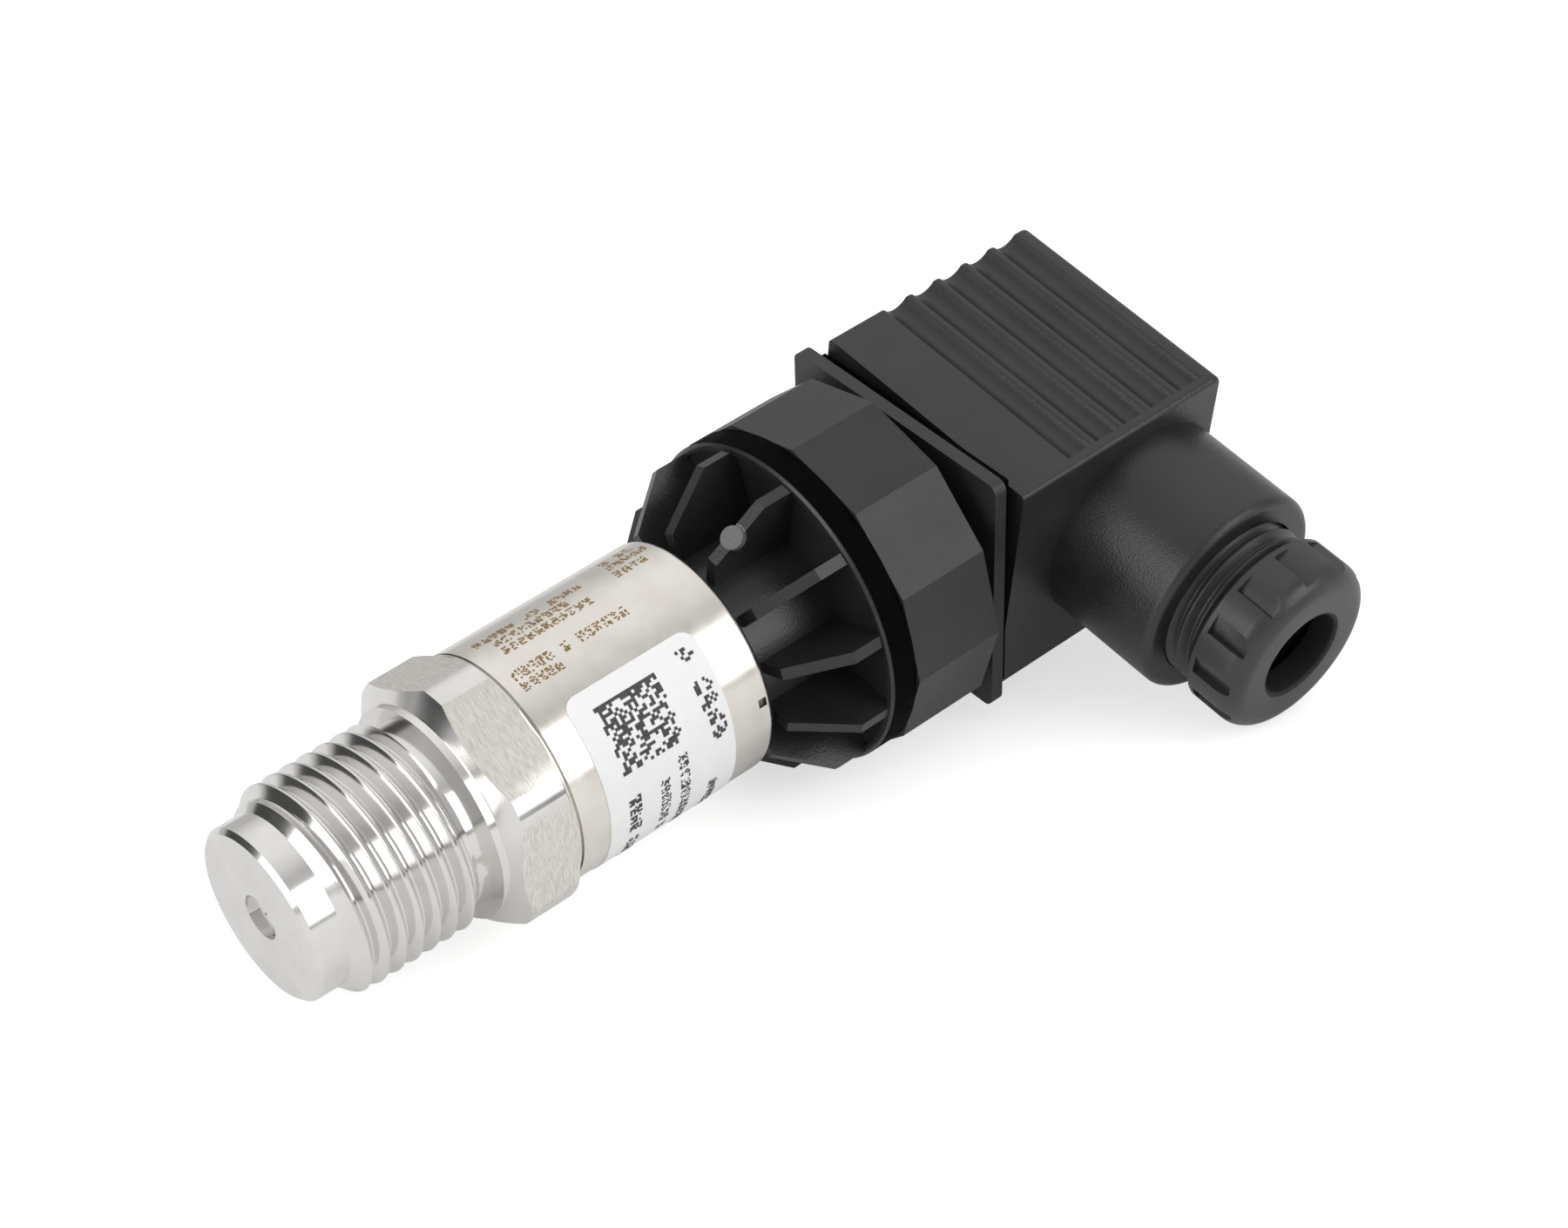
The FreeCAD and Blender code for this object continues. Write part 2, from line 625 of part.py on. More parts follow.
def make_adapter():
    """Moulded adapter: spigot in the tube, hub with radial ribs, disc and threaded stud."""
    body = new_body("adapter")
    turned(body, "TurnedForm", [
        ("dim.spigot_start", "dim.hub_bore"),
        ("dim.spigot_start", "dim.spigot_radius"),
        ("dim.groove_start", "dim.spigot_radius"),
        ("dim.groove_start", "dim.groove_radius"),
        ("dim.groove_start + dim.groove_width", "dim.groove_radius"),
        ("dim.groove_start + dim.groove_width", "dim.spigot_radius"),
        ("dim.spigot_rear", "dim.spigot_radius"),
        ("dim.spigot_rear", "dim.hub_radius"),
        ("dim.disc_front + dim.disc_sink", "dim.hub_radius"),
        ("dim.disc_front + dim.disc_sink", "dim.disc_radius - dim.rim_width"),
        ("dim.disc_front", "dim.disc_radius - dim.rim_width"),
        ("dim.disc_front", "dim.disc_radius - dim.rim_break"),
        ("dim.disc_front + dim.rim_break", "dim.disc_radius"),
        ("dim.disc_rear", "dim.disc_radius"),
        ("dim.disc_rear", "dim.stud_radius"),
        ("dim.stud_end", "dim.stud_radius"),
        ("dim.stud_end", "dim.stud_bore"),
        ("dim.disc_rear + dim.stud_floor", "dim.stud_bore"),
        ("dim.disc_front + dim.disc_sink", "dim.hub_bore"),
    ])

    def rib(sketch):
        outline(sketch, [
            ("dim.rib_front", "dim.hub_radius - dim.root_sink"),
            ("dim.rib_front", "dim.rib_low"),
            ("dim.rib_bend", "dim.rib_high"),
            ("dim.disc_rear - dim.rib_rear_gap", "dim.rib_high"),
            ("dim.disc_rear - dim.rib_rear_gap", "dim.hub_radius - dim.root_sink"),
        ])

    first = pad(body, "Rib", "XY_Plane", "-dim.rib_skin / 2", "dim.rib_skin", rib)
    around(body, "RibsAround", first, "dim.rib_count")
    doc.recompute()
    mark_the_rib(body)
    turn = FreeCAD.Rotation(X_WAY, value("dim.rib_clock"))
    body.Placement = FreeCAD.Placement(FreeCAD.Vector(0, 0, 0), turn)


def mark_the_rib(body):
    """Round mark that the ejector pin left on the slope of one rib."""
    run = value("dim.rib_bend - dim.rib_front")
    rise = value("dim.rib_high - dim.rib_low")
    slope = FreeCAD.Vector(run, rise, 0).normalize()
    outwards = FreeCAD.Vector(-rise, run, 0).normalize()
    corner = FreeCAD.Vector(value("dim.rib_front"), value("dim.rib_low"), 0)
    foot = corner + slope * value("dim.mark_place") - outwards * value("dim.mark_depth")
    mark = body.newObject("PartDesign::AdditiveCylinder", "EjectorMark")
    mark.setExpression("Radius", "dim.mark_radius")
    mark.setExpression("Height", "dim.mark_depth + dim.mark_height")
    lean = FreeCAD.Placement(foot, FreeCAD.Rotation(Z_WAY, outwards))
    turn = FreeCAD.Rotation(X_WAY, value("dim.mark_number * 360 / dim.rib_count"))
    mark.Placement = FreeCAD.Placement(FreeCAD.Vector(0, 0, 0), turn).multiply(lean)


def make_adapter_seal():
    """Rubber ring in the spigot's groove."""
    ring = doc.addObject("Part::Torus", "adapter_seal")
    ring.Label = "adapter_seal"
    ring.setExpression("Radius1", "(dim.tube_radius - dim.tube_wall + dim.groove_radius) / 2")
    ring.setExpression("Radius2", "(dim.tube_radius - dim.tube_wall - dim.groove_radius) / 2 - dim.fit_gap")
    middle = value("dim.groove_start + dim.groove_width / 2")
    ring.Placement = FreeCAD.Placement(FreeCAD.Vector(middle, 0, 0), FreeCAD.Rotation(Y_WAY, 90))
    pieces.append(ring)


def make_collar_seal():
    """Black flat ring squeezed between the adapter's disc and the collar."""
    body = new_body("collar_seal")
    turned(body, "FlatRing", [
        ("dim.disc_rear + dim.seat_gap", "dim.ring_seal_inner"),
        ("dim.disc_rear + dim.seat_gap", "dim.ring_seal_outer"),
        ("dim.collar_start - dim.seat_gap", "dim.ring_seal_outer"),
        ("dim.collar_start - dim.seat_gap", "dim.ring_seal_inner"),
    ])


# ---------------------------------------------------------------- plug base

def clocked_with_base():
    """Placement of the pieces that turn with the plug base."""
    return FreeCAD.Placement(FreeCAD.Vector(0, 0, 0), FreeCAD.Rotation(X_WAY, value("dim.base_clock")))


def make_connector_base():
    """Twelve-sided collar, waist and square flange, with slots for the blades."""
    body = new_body("connector_base")

    def twelve_sided(sketch):
        polygon(sketch, 12, "dim.collar_corner")

    pad(body, "Collar", "YZ_Plane", "dim.collar_start", "dim.collar_end - dim.collar_start", twelve_sided)

    def waist(sketch):
        circle(sketch, "dim.waist_radius")

    pad(body, "Waist", "YZ_Plane", "dim.collar_end - dim.root_sink",
        "dim.flange_end - dim.collar_end + dim.root_sink", waist)

    def square(sketch):
        rectangle(sketch, "-dim.flange_half", "dim.flange_half", "-dim.flange_half", "dim.flange_half")

    flange = pad(body, "Flange", "YZ_Plane", "dim.flange_start", "dim.flange_end - dim.flange_start", square)
    corner = value("dim.flange_half")
    rounded(body, "FlangeCorners", flange, "dim.flange_round",
            lambda edge: runs_along(edge, X_WAY) and near(abs(edge.Vertexes[0].Point.y), corner)
            and near(abs(edge.Vertexes[0].Point.z), corner))

    def post(sketch):
        rectangle(sketch, "-dim.post_half", "dim.post_half", "-dim.post_half", "dim.post_half")

    pad(body, "Post", "YZ_Plane", "dim.flange_end - dim.root_sink", "dim.post_length + dim.root_sink", post)

    def threaded_bore(sketch):
        circle(sketch, "dim.collar_bore")

    pocket(body, "ThreadedBore", "YZ_Plane", "dim.stud_end + dim.stud_room",
           "dim.stud_end + dim.stud_room - dim.collar_start", threaded_bore)

    def lead_room(sketch):
        circle(sketch, "dim.stud_bore")

    pocket(body, "LeadRoom", "YZ_Plane", "dim.collar_end", "dim.lead_room", lead_room)

    def blade_slots(sketch):
        near_side = "dim.blade_offset - dim.blade_skin / 2 - dim.blade_slot"
        far_side = "dim.blade_offset + dim.blade_skin / 2 + dim.blade_slot"
        half = "dim.blade_width / 2 + dim.blade_slot"
        rectangle(sketch, near_side, far_side, "-(%s)" % half, half)

    slot = pocket(body, "BladeSlot", "YZ_Plane", "dim.flange_end + dim.tool_lead",
                  "dim.slot_depth", blade_slots)
    around(body, "BladeSlots", slot, "4")

    def insert_hole(sketch):
        circle(sketch, "dim.insert_radius + dim.fit_gap")

    pocket(body, "InsertHole", "YZ_Plane", "dim.flange_end + dim.post_length + dim.tool_lead",
           "dim.post_length + dim.insert_sink + 2 * dim.tool_lead", insert_hole)
    body.Placement = clocked_with_base()


def make_thread_insert():
    """Brass bush that takes the fixing screw."""
    body = new_body("thread_insert")
    turned(body, "Bush", [
        ("dim.flange_end - dim.insert_sink", "dim.insert_bore"),
        ("dim.flange_end - dim.insert_sink", "dim.insert_radius"),
        ("dim.flange_end + dim.post_length", "dim.insert_radius"),
        ("dim.flange_end + dim.post_length", "dim.insert_bore"),
    ])


def make_blades():
    """Three signal blades, and the earth blade with its own longer nose."""
    front = value("dim.blade_front")
    rear = value("dim.blade_rear")
    wide = value("dim.blade_width")
    skin = value("dim.blade_skin")
    away = value("dim.blade_offset")
    nose = value("dim.blade_nose")
    tail = value("dim.tail_length")
    narrow = value("dim.tail_half")
    blades = []
    for quarter in QUARTERS:
        tip = rear
        if quarter == value("dim.earth_quarter"):
            tip = rear + value("dim.earth_extra")
        upper = [
            (front, narrow), (front + tail, narrow), (front + tail, wide / 2),
            (tip - nose, wide / 2), (tip, wide / 2 - nose),
        ]
        lower = [(along, -across) for along, across in reversed(upper)]
        flat = [FreeCAD.Vector(along, across, 0) for along, across in upper + lower]
        face = Part.Face(Part.makePolygon(flat + flat[:1]))
        blade = face.extrude(FreeCAD.Vector(0, 0, skin))
        blade.translate(FreeCAD.Vector(0, 0, away - skin / 2))
        blade.rotate(FreeCAD.Vector(0, 0, 0), X_WAY, quarter)
        blades.append(blade)
    signal = solid_group("contact_blades", blades[:3])
    earth = solid_group("earth_blade", blades[3:])
    signal.Placement = clocked_with_base()
    earth.Placement = clocked_with_base()


def make_flat_gasket():
    """Square rubber gasket between the flange and the plug housing."""
    body = new_body("flat_gasket")

    def frame(sketch):
        rectangle(sketch, "-dim.gasket_half", "dim.gasket_half", "-dim.gasket_half", "dim.gasket_half")
        rectangle(sketch, "-dim.gasket_open", "dim.gasket_open", "-dim.gasket_open", "dim.gasket_open")

    pad(body, "Sheet", "YZ_Plane", "dim.flange_end + dim.seat_gap",
        "dim.gasket_end - dim.flange_end - 2 * dim.seat_gap", frame)
    body.Placement = clocked_with_base()


# ---------------------------------------------------------------- plug housing

def make_connector_housing():
    """Hollow square housing with finger grooves on top and the gland neck at its side."""
    body = new_body("connector_housing")

    def side_view(sketch):
        rectangle(sketch, "dim.box_front", "dim.box_rear", "-dim.box_half", "dim.box_half")

    box = pad(body, "Box", "XZ_Plane", "-dim.box_left", "dim.box_left + dim.box_right", side_view)
    rear = value("dim.box_rear")
    half = value("dim.box_half")
    rear_edges = rounded(body, "RearEdges", box, "dim.rear_round",
                         lambda edge: runs_along(edge, Y_WAY) and near(edge.BoundBox.XMax, rear))
    rounded(body, "LongEdges", rear_edges, "dim.edge_round", lambda edge: runs_along(edge, X_WAY))

    def wave(sketch):
        circle(sketch, "dim.wave_radius", "dim.wave_first", "dim.box_half + dim.wave_radius - dim.wave_depth")

    groove = pocket(body, "FingerGroove", "XZ_Plane", "dim.wave_stop",
                    "dim.wave_stop + dim.box_left + dim.tool_lead", wave)
    row = body.newObject("PartDesign::LinearPattern", "FingerGrooves")
    axis = [item for item in body.Origin.OriginFeatures if item.Role == "X_Axis"][0]
    row.Originals = [groove]
    row.Direction = (axis, [""])
    row.setExpression("Length", "dim.wave_pitch * (dim.wave_count - 1)")
    row.setExpression("Occurrences", "dim.wave_count")
    body.Tip = row
    first_crest = value("dim.wave_first - dim.wave_radius")
    last_crest = value("dim.wave_first + dim.wave_pitch * (dim.wave_count - 1) + dim.wave_radius")
    rounded(body, "Crests", row, "dim.wave_round",
            lambda edge: runs_along(edge, Y_WAY) and near(edge.BoundBox.ZMax, half)
            and first_crest < edge.BoundBox.XMin < last_crest)

    def neck(sketch):
        circle(sketch, "dim.gland_radius", "dim.gland_place", "0")

    gland = pad(body, "GlandNeck", "XZ_Plane", "dim.gland_root", "dim.gland_reach - dim.gland_root", neck)
    mouth = -value("dim.gland_reach")
    rounded(body, "NeckEdge", gland, "dim.neck_round",
            lambda edge: near(edge.BoundBox.YMin, mouth) and near(edge.BoundBox.YMax, mouth))

    def cavity(sketch):
        rectangle(sketch, "dim.box_wall - dim.box_right", "dim.box_left - dim.box_wall",
                  "dim.box_wall - dim.box_half", "dim.box_half - dim.box_wall")

    pocket(body, "Cavity", "YZ_Plane", "dim.box_rear - dim.box_back",
           "dim.box_rear - dim.box_back - dim.box_front", cavity)

    def bore(sketch):
        circle(sketch, "dim.gland_bore", "dim.gland_place", "0")

    def way(sketch):
        circle(sketch, "dim.gland_way", "dim.gland_place", "0")

    pocket(body, "GlandBore", "XZ_Plane", "dim.gland_reach", "dim.gland_reach - dim.gland_seat", bore)
    pocket(body, "CableWay", "XZ_Plane", "dim.gland_seat + dim.tool_lead",
           "dim.gland_seat - dim.box_right + dim.box_wall + 2 * dim.tool_lead", way)

    def boss(sketch):
        circle(sketch, "dim.boss_radius")

    pad(body, "ScrewBoss", "YZ_Plane", "dim.boss_front", "dim.box_rear - dim.boss_root - dim.boss_front", boss)

    def recess(sketch):
        circle(sketch, "dim.recess_radius")

    pocket(body, "HeadRecess", "YZ_Plane", "dim.box_rear", "dim.box_rear - dim.recess_floor", recess)

    def screw_hole(sketch):
        circle(sketch, "dim.screw_way")

    pocket(body, "ScrewHole", "YZ_Plane", "dim.recess_floor + dim.tool_lead",
           "dim.recess_floor - dim.boss_front + 2 * dim.tool_lead", screw_hole)


def make_terminal_block():
    """Insert with four contact chambers that snaps into the housing."""
    body = new_body("terminal_block")
    half = "dim.block_half"
    short = "(dim.block_half - dim.block_cut)"

    def octagon(sketch):
        outline(sketch, [
            (half, "-" + short), (half, short), (short, half), ("-" + short, half),
            ("-" + half, short), ("-" + half, "-" + short), ("-" + short, "-" + half), (short, "-" + half),
        ])

    pad(body, "Block", "YZ_Plane", "dim.block_front", "dim.block_rear - dim.block_front", octagon)

    def chamber(sketch):
        rectangle(sketch, "dim.blade_offset - dim.socket_skin / 2 - dim.socket_room",
                  "dim.block_half + dim.tool_lead",
                  "-dim.socket_width / 2 - dim.socket_room", "dim.socket_width / 2 + dim.socket_room")

    behind = "dim.block_rear + dim.tool_lead"
    through = "dim.block_rear - dim.block_front + 2 * dim.tool_lead"
    first = pocket(body, "Chamber", "YZ_Plane", behind, through, chamber)
    around(body, "Chambers", first, "4")

    def way(sketch):
        circle(sketch, "dim.block_bore")

    pocket(body, "ScrewWay", "YZ_Plane", behind, through, way)
    body.Placement = clocked_with_base()


def make_terminal_sockets():
    """Four folded contact sockets, open to the blades in front."""
    front = value("dim.socket_front")
    rear = value("dim.block_rear")
    wide = value("dim.socket_width")
    skin = value("dim.socket_skin")
    away = value("dim.blade_offset")
    lead = value("dim.tool_lead")
    sockets = []
    for quarter in QUARTERS:
        folded = block(front, rear, wide, skin, 0.0, away)
        slot = block(front - lead, value("dim.blade_rear + dim.socket_reach"),
                     value("dim.blade_width + 2 * dim.blade_room"),
                     value("dim.blade_skin + dim.blade_room"), 0.0, away)
        socket = folded.cut(slot)
        socket.rotate(FreeCAD.Vector(0, 0, 0), X_WAY, quarter)
        sockets.append(socket)
    group = solid_group("terminal_sockets", sockets)
    group.Placement = clocked_with_base()


def make_terminal_screws():
    """Four slotted clamp screws on the rear of the sockets."""
    rear = value("dim.block_rear")
    radius = value("dim.clamp_radius")
    away = value("dim.blade_offset - dim.clamp_inset")
    top = rear + value("dim.clamp_length")
    floor = top - value("dim.clamp_slot_depth")
    screws = []
    for quarter in QUARTERS:
        head = rod(rear + value("dim.seat_gap"), top, radius, 0.0, away)
        slot = block(floor, top + radius, 4 * radius, value("dim.clamp_slot_width"), 0.0, away)
        screw = head.cut(slot)
        screw.rotate(FreeCAD.Vector(0, 0, 0), X_WAY, quarter)
        screws.append(screw)
    group = solid_group("terminal_screws", screws)
    group.Placement = clocked_with_base()


# ---------------------------------------------------------------- fixing screw

def make_fixing_screw():
    """Long slotted screw through the housing into the brass bush."""
    body = new_body("fixing_screw")
    head_start = "dim.recess_floor + dim.washer_skin + dim.fit_gap"
    turned(body, "HeadAndShank", [
        ("dim.screw_tip", "0"),
        ("dim.screw_tip", "dim.screw_radius - dim.screw_break"),
        ("dim.screw_tip + dim.screw_break", "dim.screw_radius"),
        (head_start, "dim.screw_radius"),
        (head_start, "dim.head_radius"),
        (head_start + " + dim.head_length - dim.head_break", "dim.head_radius"),
        (head_start + " + dim.head_length", "dim.head_radius - dim.head_break"),
        (head_start + " + dim.head_length", "0"),
    ])

    def slot(sketch):
        rectangle(sketch, "-dim.head_radius - dim.tool_lead", "dim.head_radius + dim.tool_lead",
                  "-dim.driver_width / 2", "dim.driver_width / 2")

    pocket(body, "DriverSlot", "YZ_Plane", head_start + " + dim.head_length + dim.tool_lead",
           "dim.driver_depth + dim.tool_lead", slot)


def make_screw_seal():
    """Rubber ring under the screw's head."""
    body = new_body("screw_seal")
    turned(body, "SealRing", [
        ("dim.recess_floor + dim.seat_gap", "dim.washer_bore"),
        ("dim.recess_floor + dim.seat_gap", "dim.head_radius"),
        ("dim.recess_floor + dim.washer_skin", "dim.head_radius"),
        ("dim.recess_floor + dim.washer_skin", "dim.washer_bore"),
    ])


# ---------------------------------------------------------------- cable gland, drawn with X pointing outwards

def on_cable_axis():
    """Placement of the gland's pieces, whose own X axis is the cable axis."""
    return FreeCAD.Placement(FreeCAD.Vector(value("dim.gland_place"), 0, 0), FreeCAD.Rotation(Z_WAY, -90))


def make_gland_grommet():
    """Rubber grommet on the floor of the gland bore."""
    body = new_body("gland_grommet")
    turned(body, "Grommet", [
        ("dim.gland_seat + dim.fit_gap", "dim.grommet_bore"),
        ("dim.gland_seat + dim.fit_gap", "dim.grommet_radius - dim.grommet_break"),
        ("dim.gland_seat + dim.grommet_break", "dim.grommet_radius"),
        ("dim.grommet_end - dim.grommet_break", "dim.grommet_radius"),
        ("dim.grommet_end", "dim.grommet_radius - dim.grommet_break"),
        ("dim.grommet_end", "dim.grommet_bore + dim.grommet_break"),
        ("dim.grommet_end - dim.grommet_break", "dim.grommet_bore"),
    ])
    body.Placement = on_cable_axis()


def make_gland_washer():
    """Slip washer at the tip of the pressure screw; it travels but doesn't turn."""
    body = new_body("gland_washer")
    turned(body, "Washer", [
        ("dim.slip_start", "dim.slip_bore"),
        ("dim.slip_start", "dim.grommet_radius"),
        ("dim.slip_end - dim.fit_gap", "dim.grommet_radius"),
        ("dim.slip_end - dim.fit_gap", "dim.slip_bore"),
    ])
    body.Placement = on_cable_axis()


def make_gland_screw():
    """Pressure screw: threaded shank and a domed head with notches for the fingers."""
    body = new_body("gland_screw")
    form = turned(body, "ShankAndHead", [
        ("dim.slip_end", "dim.press_inner"),
        ("dim.slip_end", "dim.press_shank - dim.shank_break"),
        ("dim.slip_end + dim.shank_break", "dim.press_shank"),
        ("dim.press_shoulder", "dim.press_shank"),
        ("dim.press_shoulder", "dim.press_radius - dim.shoulder_break"),
        ("dim.press_shoulder + dim.shoulder_break", "dim.press_radius"),
        ("dim.press_end", "dim.press_radius"),
        ("dim.press_end", "dim.press_bore"),
        ("dim.press_end - dim.press_lip", "dim.press_bore"),
        ("dim.press_end - dim.press_lip - dim.lip_cone", "dim.press_inner"),
    ])
    front = value("dim.press_end")
    outer = value("dim.press_radius")
    mouth = value("dim.press_bore")
    dome = rounded(body, "Dome", form, "dim.press_dome",
                   lambda edge: near(edge.BoundBox.XMin, front) and near(edge.BoundBox.YMax, outer))
    rounded(body, "Mouth", dome, "dim.press_mouth",
            lambda edge: near(edge.BoundBox.XMin, front) and near(edge.BoundBox.YMax, mouth))

    def notch(sketch):
        outline(sketch, [
            ("-dim.grip_steep", "dim.press_radius + dim.grip_depth"),
            ("-dim.grip_steep", "dim.press_radius - dim.grip_depth"),
            ("dim.grip_shallow", "dim.press_radius"),
            ("dim.grip_shallow", "dim.press_radius + dim.grip_depth"),
        ])

    first = pocket(body, "Notch", "YZ_Plane", "dim.grip_end", "dim.grip_end - dim.grip_start", notch)
    around(body, "Notches", first, "dim.grip_count")
    body.Placement = on_cable_axis()


# ---------------------------------------------------------------- building and laying down

MAKERS = (
    make_process_connection, make_case_tube, make_case_label, make_pressure_cell, make_cell_seal,
    make_cell_retainer, make_circuit_board, make_board_components, make_leads, make_adapter,
    make_adapter_seal, make_collar_seal, make_connector_base, make_thread_insert, make_blades,
    make_flat_gasket, make_connector_housing, make_terminal_block, make_terminal_sockets,
    make_terminal_screws, make_fixing_screw, make_screw_seal, make_gland_grommet,
    make_gland_washer, make_gland_screw,
)
for make in MAKERS:
    make()
doc.recompute()


def lying_down():
    """Placement that lays the object on its hexagon, the adapter's rim and the gland's head.

    The roll lets the heavy gland down until its head touches. The pitch lowers the nose until
    the hexagon touches. The origin is then under the middle of the object, on the surface.
    """
    roll = FreeCAD.Rotation(X_WAY, value("dim.rest_roll"))
    pitch = FreeCAD.Rotation(Y_WAY, -value("dim.rest_pitch"))
    turn = FreeCAD.Placement(FreeCAD.Vector(0, 0, 0), pitch.multiply(roll))
    laid = [piece.Shape.transformGeometry(turn.toMatrix()) for piece in pieces]
    around_all = Part.makeCompound(laid).optimalBoundingBox(False)
    middle = around_all.Center
    turn.Base = FreeCAD.Vector(-middle.x, -middle.y, -around_all.ZMin)
    return turn


rest = lying_down()
for piece in pieces:
    piece.Placement = rest.multiply(piece.Placement)
doc.recompute()

# ---------------------------------------------------------------- checks and files

for item in doc.Objects:
    faults = [word for word in item.State if word in ("Invalid", "Error")]
    if faults:
        raise RuntimeError("%s is %s" % (item.Name, faults))
for piece in pieces:
    if piece.Shape.isNull() or not piece.Shape.isValid():
        raise RuntimeError("%s has no valid shape" % piece.Label)

os.makedirs("parts", exist_ok=True)
for piece in pieces:
    piece.Shape.exportStep("parts/%s.step" % piece.Label)
    print("%-20s %10.1f mm3 %3d solids" % (piece.Label, piece.Shape.Volume, len(piece.Shape.Solids)))
print("rest placement", rest)
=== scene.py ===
import json
import math
import random

import bmesh
import bpy
from mathutils import Matrix, Vector


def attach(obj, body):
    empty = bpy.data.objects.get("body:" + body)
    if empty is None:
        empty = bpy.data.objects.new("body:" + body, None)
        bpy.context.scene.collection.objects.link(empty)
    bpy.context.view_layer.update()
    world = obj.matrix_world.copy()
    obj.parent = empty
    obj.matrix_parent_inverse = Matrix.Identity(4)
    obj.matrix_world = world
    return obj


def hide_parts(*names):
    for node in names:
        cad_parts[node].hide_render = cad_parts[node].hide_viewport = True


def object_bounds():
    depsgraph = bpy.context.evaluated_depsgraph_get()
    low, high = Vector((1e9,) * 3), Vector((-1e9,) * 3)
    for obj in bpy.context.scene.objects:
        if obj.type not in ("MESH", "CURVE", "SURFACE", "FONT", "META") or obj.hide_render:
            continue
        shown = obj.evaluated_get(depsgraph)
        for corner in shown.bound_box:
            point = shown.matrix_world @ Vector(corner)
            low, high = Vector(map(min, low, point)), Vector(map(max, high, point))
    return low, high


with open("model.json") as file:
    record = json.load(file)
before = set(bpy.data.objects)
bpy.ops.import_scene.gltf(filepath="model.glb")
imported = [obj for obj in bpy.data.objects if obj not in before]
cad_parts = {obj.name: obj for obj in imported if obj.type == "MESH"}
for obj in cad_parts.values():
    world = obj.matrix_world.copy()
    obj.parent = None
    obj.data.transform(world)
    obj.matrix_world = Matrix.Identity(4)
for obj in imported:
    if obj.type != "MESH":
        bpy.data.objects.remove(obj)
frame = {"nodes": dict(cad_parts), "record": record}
cad_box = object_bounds()

# ---------------------------------------------------------------- process connection
# Turned in one piece from stainless bar: a plain nose with the pressure port, the pipe thread,
# an undercut, a sealing ring and the hexagon. The flats are milled across the axis. The case
# tube is welded on behind the hexagon.
#
# This piece and all after it are drawn in millimetres, with the steel axis along X from the
# nose, the cable leaving towards -Y and Z up, and are then laid down where the object lies.
# A clock is the angle round the steel axis, in degrees from +Y towards +Z.

MM = 0.001
PORT_BEHIND_NOSE = 10

mounts = {mount["name"]: mount for mount in frame["record"]["mounts"]}
along = -Vector(mounts["pressure_port"]["axis"]).normalized()
up = along.cross(-Vector(mounts["cable_entry"]["axis"])).normalized()
side = up.cross(along)
nose = Vector(mounts["pressure_port"]["pos_m"]) - along * PORT_BEHIND_NOSE * MM
lie = Matrix((along, side, up)).transposed().to_4x4()
lie.translation = nose
unturned = lie.to_3x3().transposed()
drawn_to_laid = lie @ Matrix.Scale(MM, 4)
laid_to_drawn = drawn_to_laid.inverted()

PILOT_RADIUS = 8.82
PILOT_LENGTH = 3.2
UNDERCUT_RADIUS = 9.3
THREAD_END = 17.2
THREAD_CREST = 10.4775
THREAD_ROOT = 9.3155
THREAD_PITCH = 1.88
FIRST_CREST = 3.88
RUN_OUT_SLOPE = 1.96
HEXAGON_FROM = 19.6
HEXAGON_TO = 26.4
HEXAGON_MIDDLE = (HEXAGON_FROM + HEXAGON_TO) / 2
HEXAGON_FLAT = 12.0
HEXAGON_CORNER = 13.45
CORNER_CLOCK = 22.3
CORNER_STEP = 60
TURNED_CORNER = 13.15
TURNED_FROM = 20.735
TURNED_TO = 25.885
RIM_GAP = 0.06
STEEL = (0.79, 0.775, 0.755)
STEEL_SHADE = (0.73, 0.715, 0.695)
STROKE_SHADE = (0.62, 0.59, 0.535)
STROKE_SHINE = (0.84, 0.82, 0.775)

# How far a point may be off its place, and how near points are merged: a sleeve's, a solid's
# and the turned corners'. Faces this near to level are one face, and edges softer than the
# last angle are shaded smooth.
SLACK = 0.01
TOUCHING = 0.001
SAME_POINT = 0.003
SAME_CORNER = 0.01
SAME_FACE_DEGREES = 0.4
SOFT_EDGE_DEGREES = 28

# Faces past this radius are the thread's, and those this near a flat and this level the flat's.
THREAD_PAST = 8.72
FLAT_WITHIN = 0.05
FLAT_TILT = 0.02

# A pipe thread's height and the rounding of its tips, in pitches, and its flank angle.
FORM_HEIGHT = 0.64
FORM_ROUNDING = 0.137
FORM_FLANK_DEGREES = 27.5
STEPS_PER_TURN = 120
STEPS_PER_HALF_TIP = 2

# The heights of a pattern at which its soft patches are darkest and lightest.
PATCH_DARK = 0.3
PATCH_LIGHT = 0.7


def shader_node(tree, kind, sockets, **settings):
    """A shader node with its settings; each socket takes a value or another node's output."""
    node = tree.nodes.new("ShaderNode" + kind)
    for name, setting in settings.items():
        setattr(node, name, setting)
    for socket, given in sockets.items():
        if isinstance(given, bpy.types.NodeSocket):
            tree.links.new(given, node.inputs[socket])
        else:
            node.inputs[socket].default_value = given
    return node


def new_finish(name, settings):
    """A material with its shader's plain settings, and the place on the object in drawing mm."""
    finish = bpy.data.materials.new(name)
    finish.use_nodes = True
    tree = finish.node_tree
    shader = tree.nodes["Principled BSDF"]
    for socket, setting in settings.items():
        shader.inputs[socket].default_value = setting
    place = shader_node(tree, "TexCoord", {}).outputs["Object"]
    drawn = shader_node(tree, "Mapping", {
        "Vector": place, "Scale": (1 / MM, 1 / MM, 1 / MM), "Rotation": unturned.to_euler(),
        "Location": -(unturned @ lie.translation) / MM,
    })
    return finish, tree, shader, drawn.outputs["Vector"]


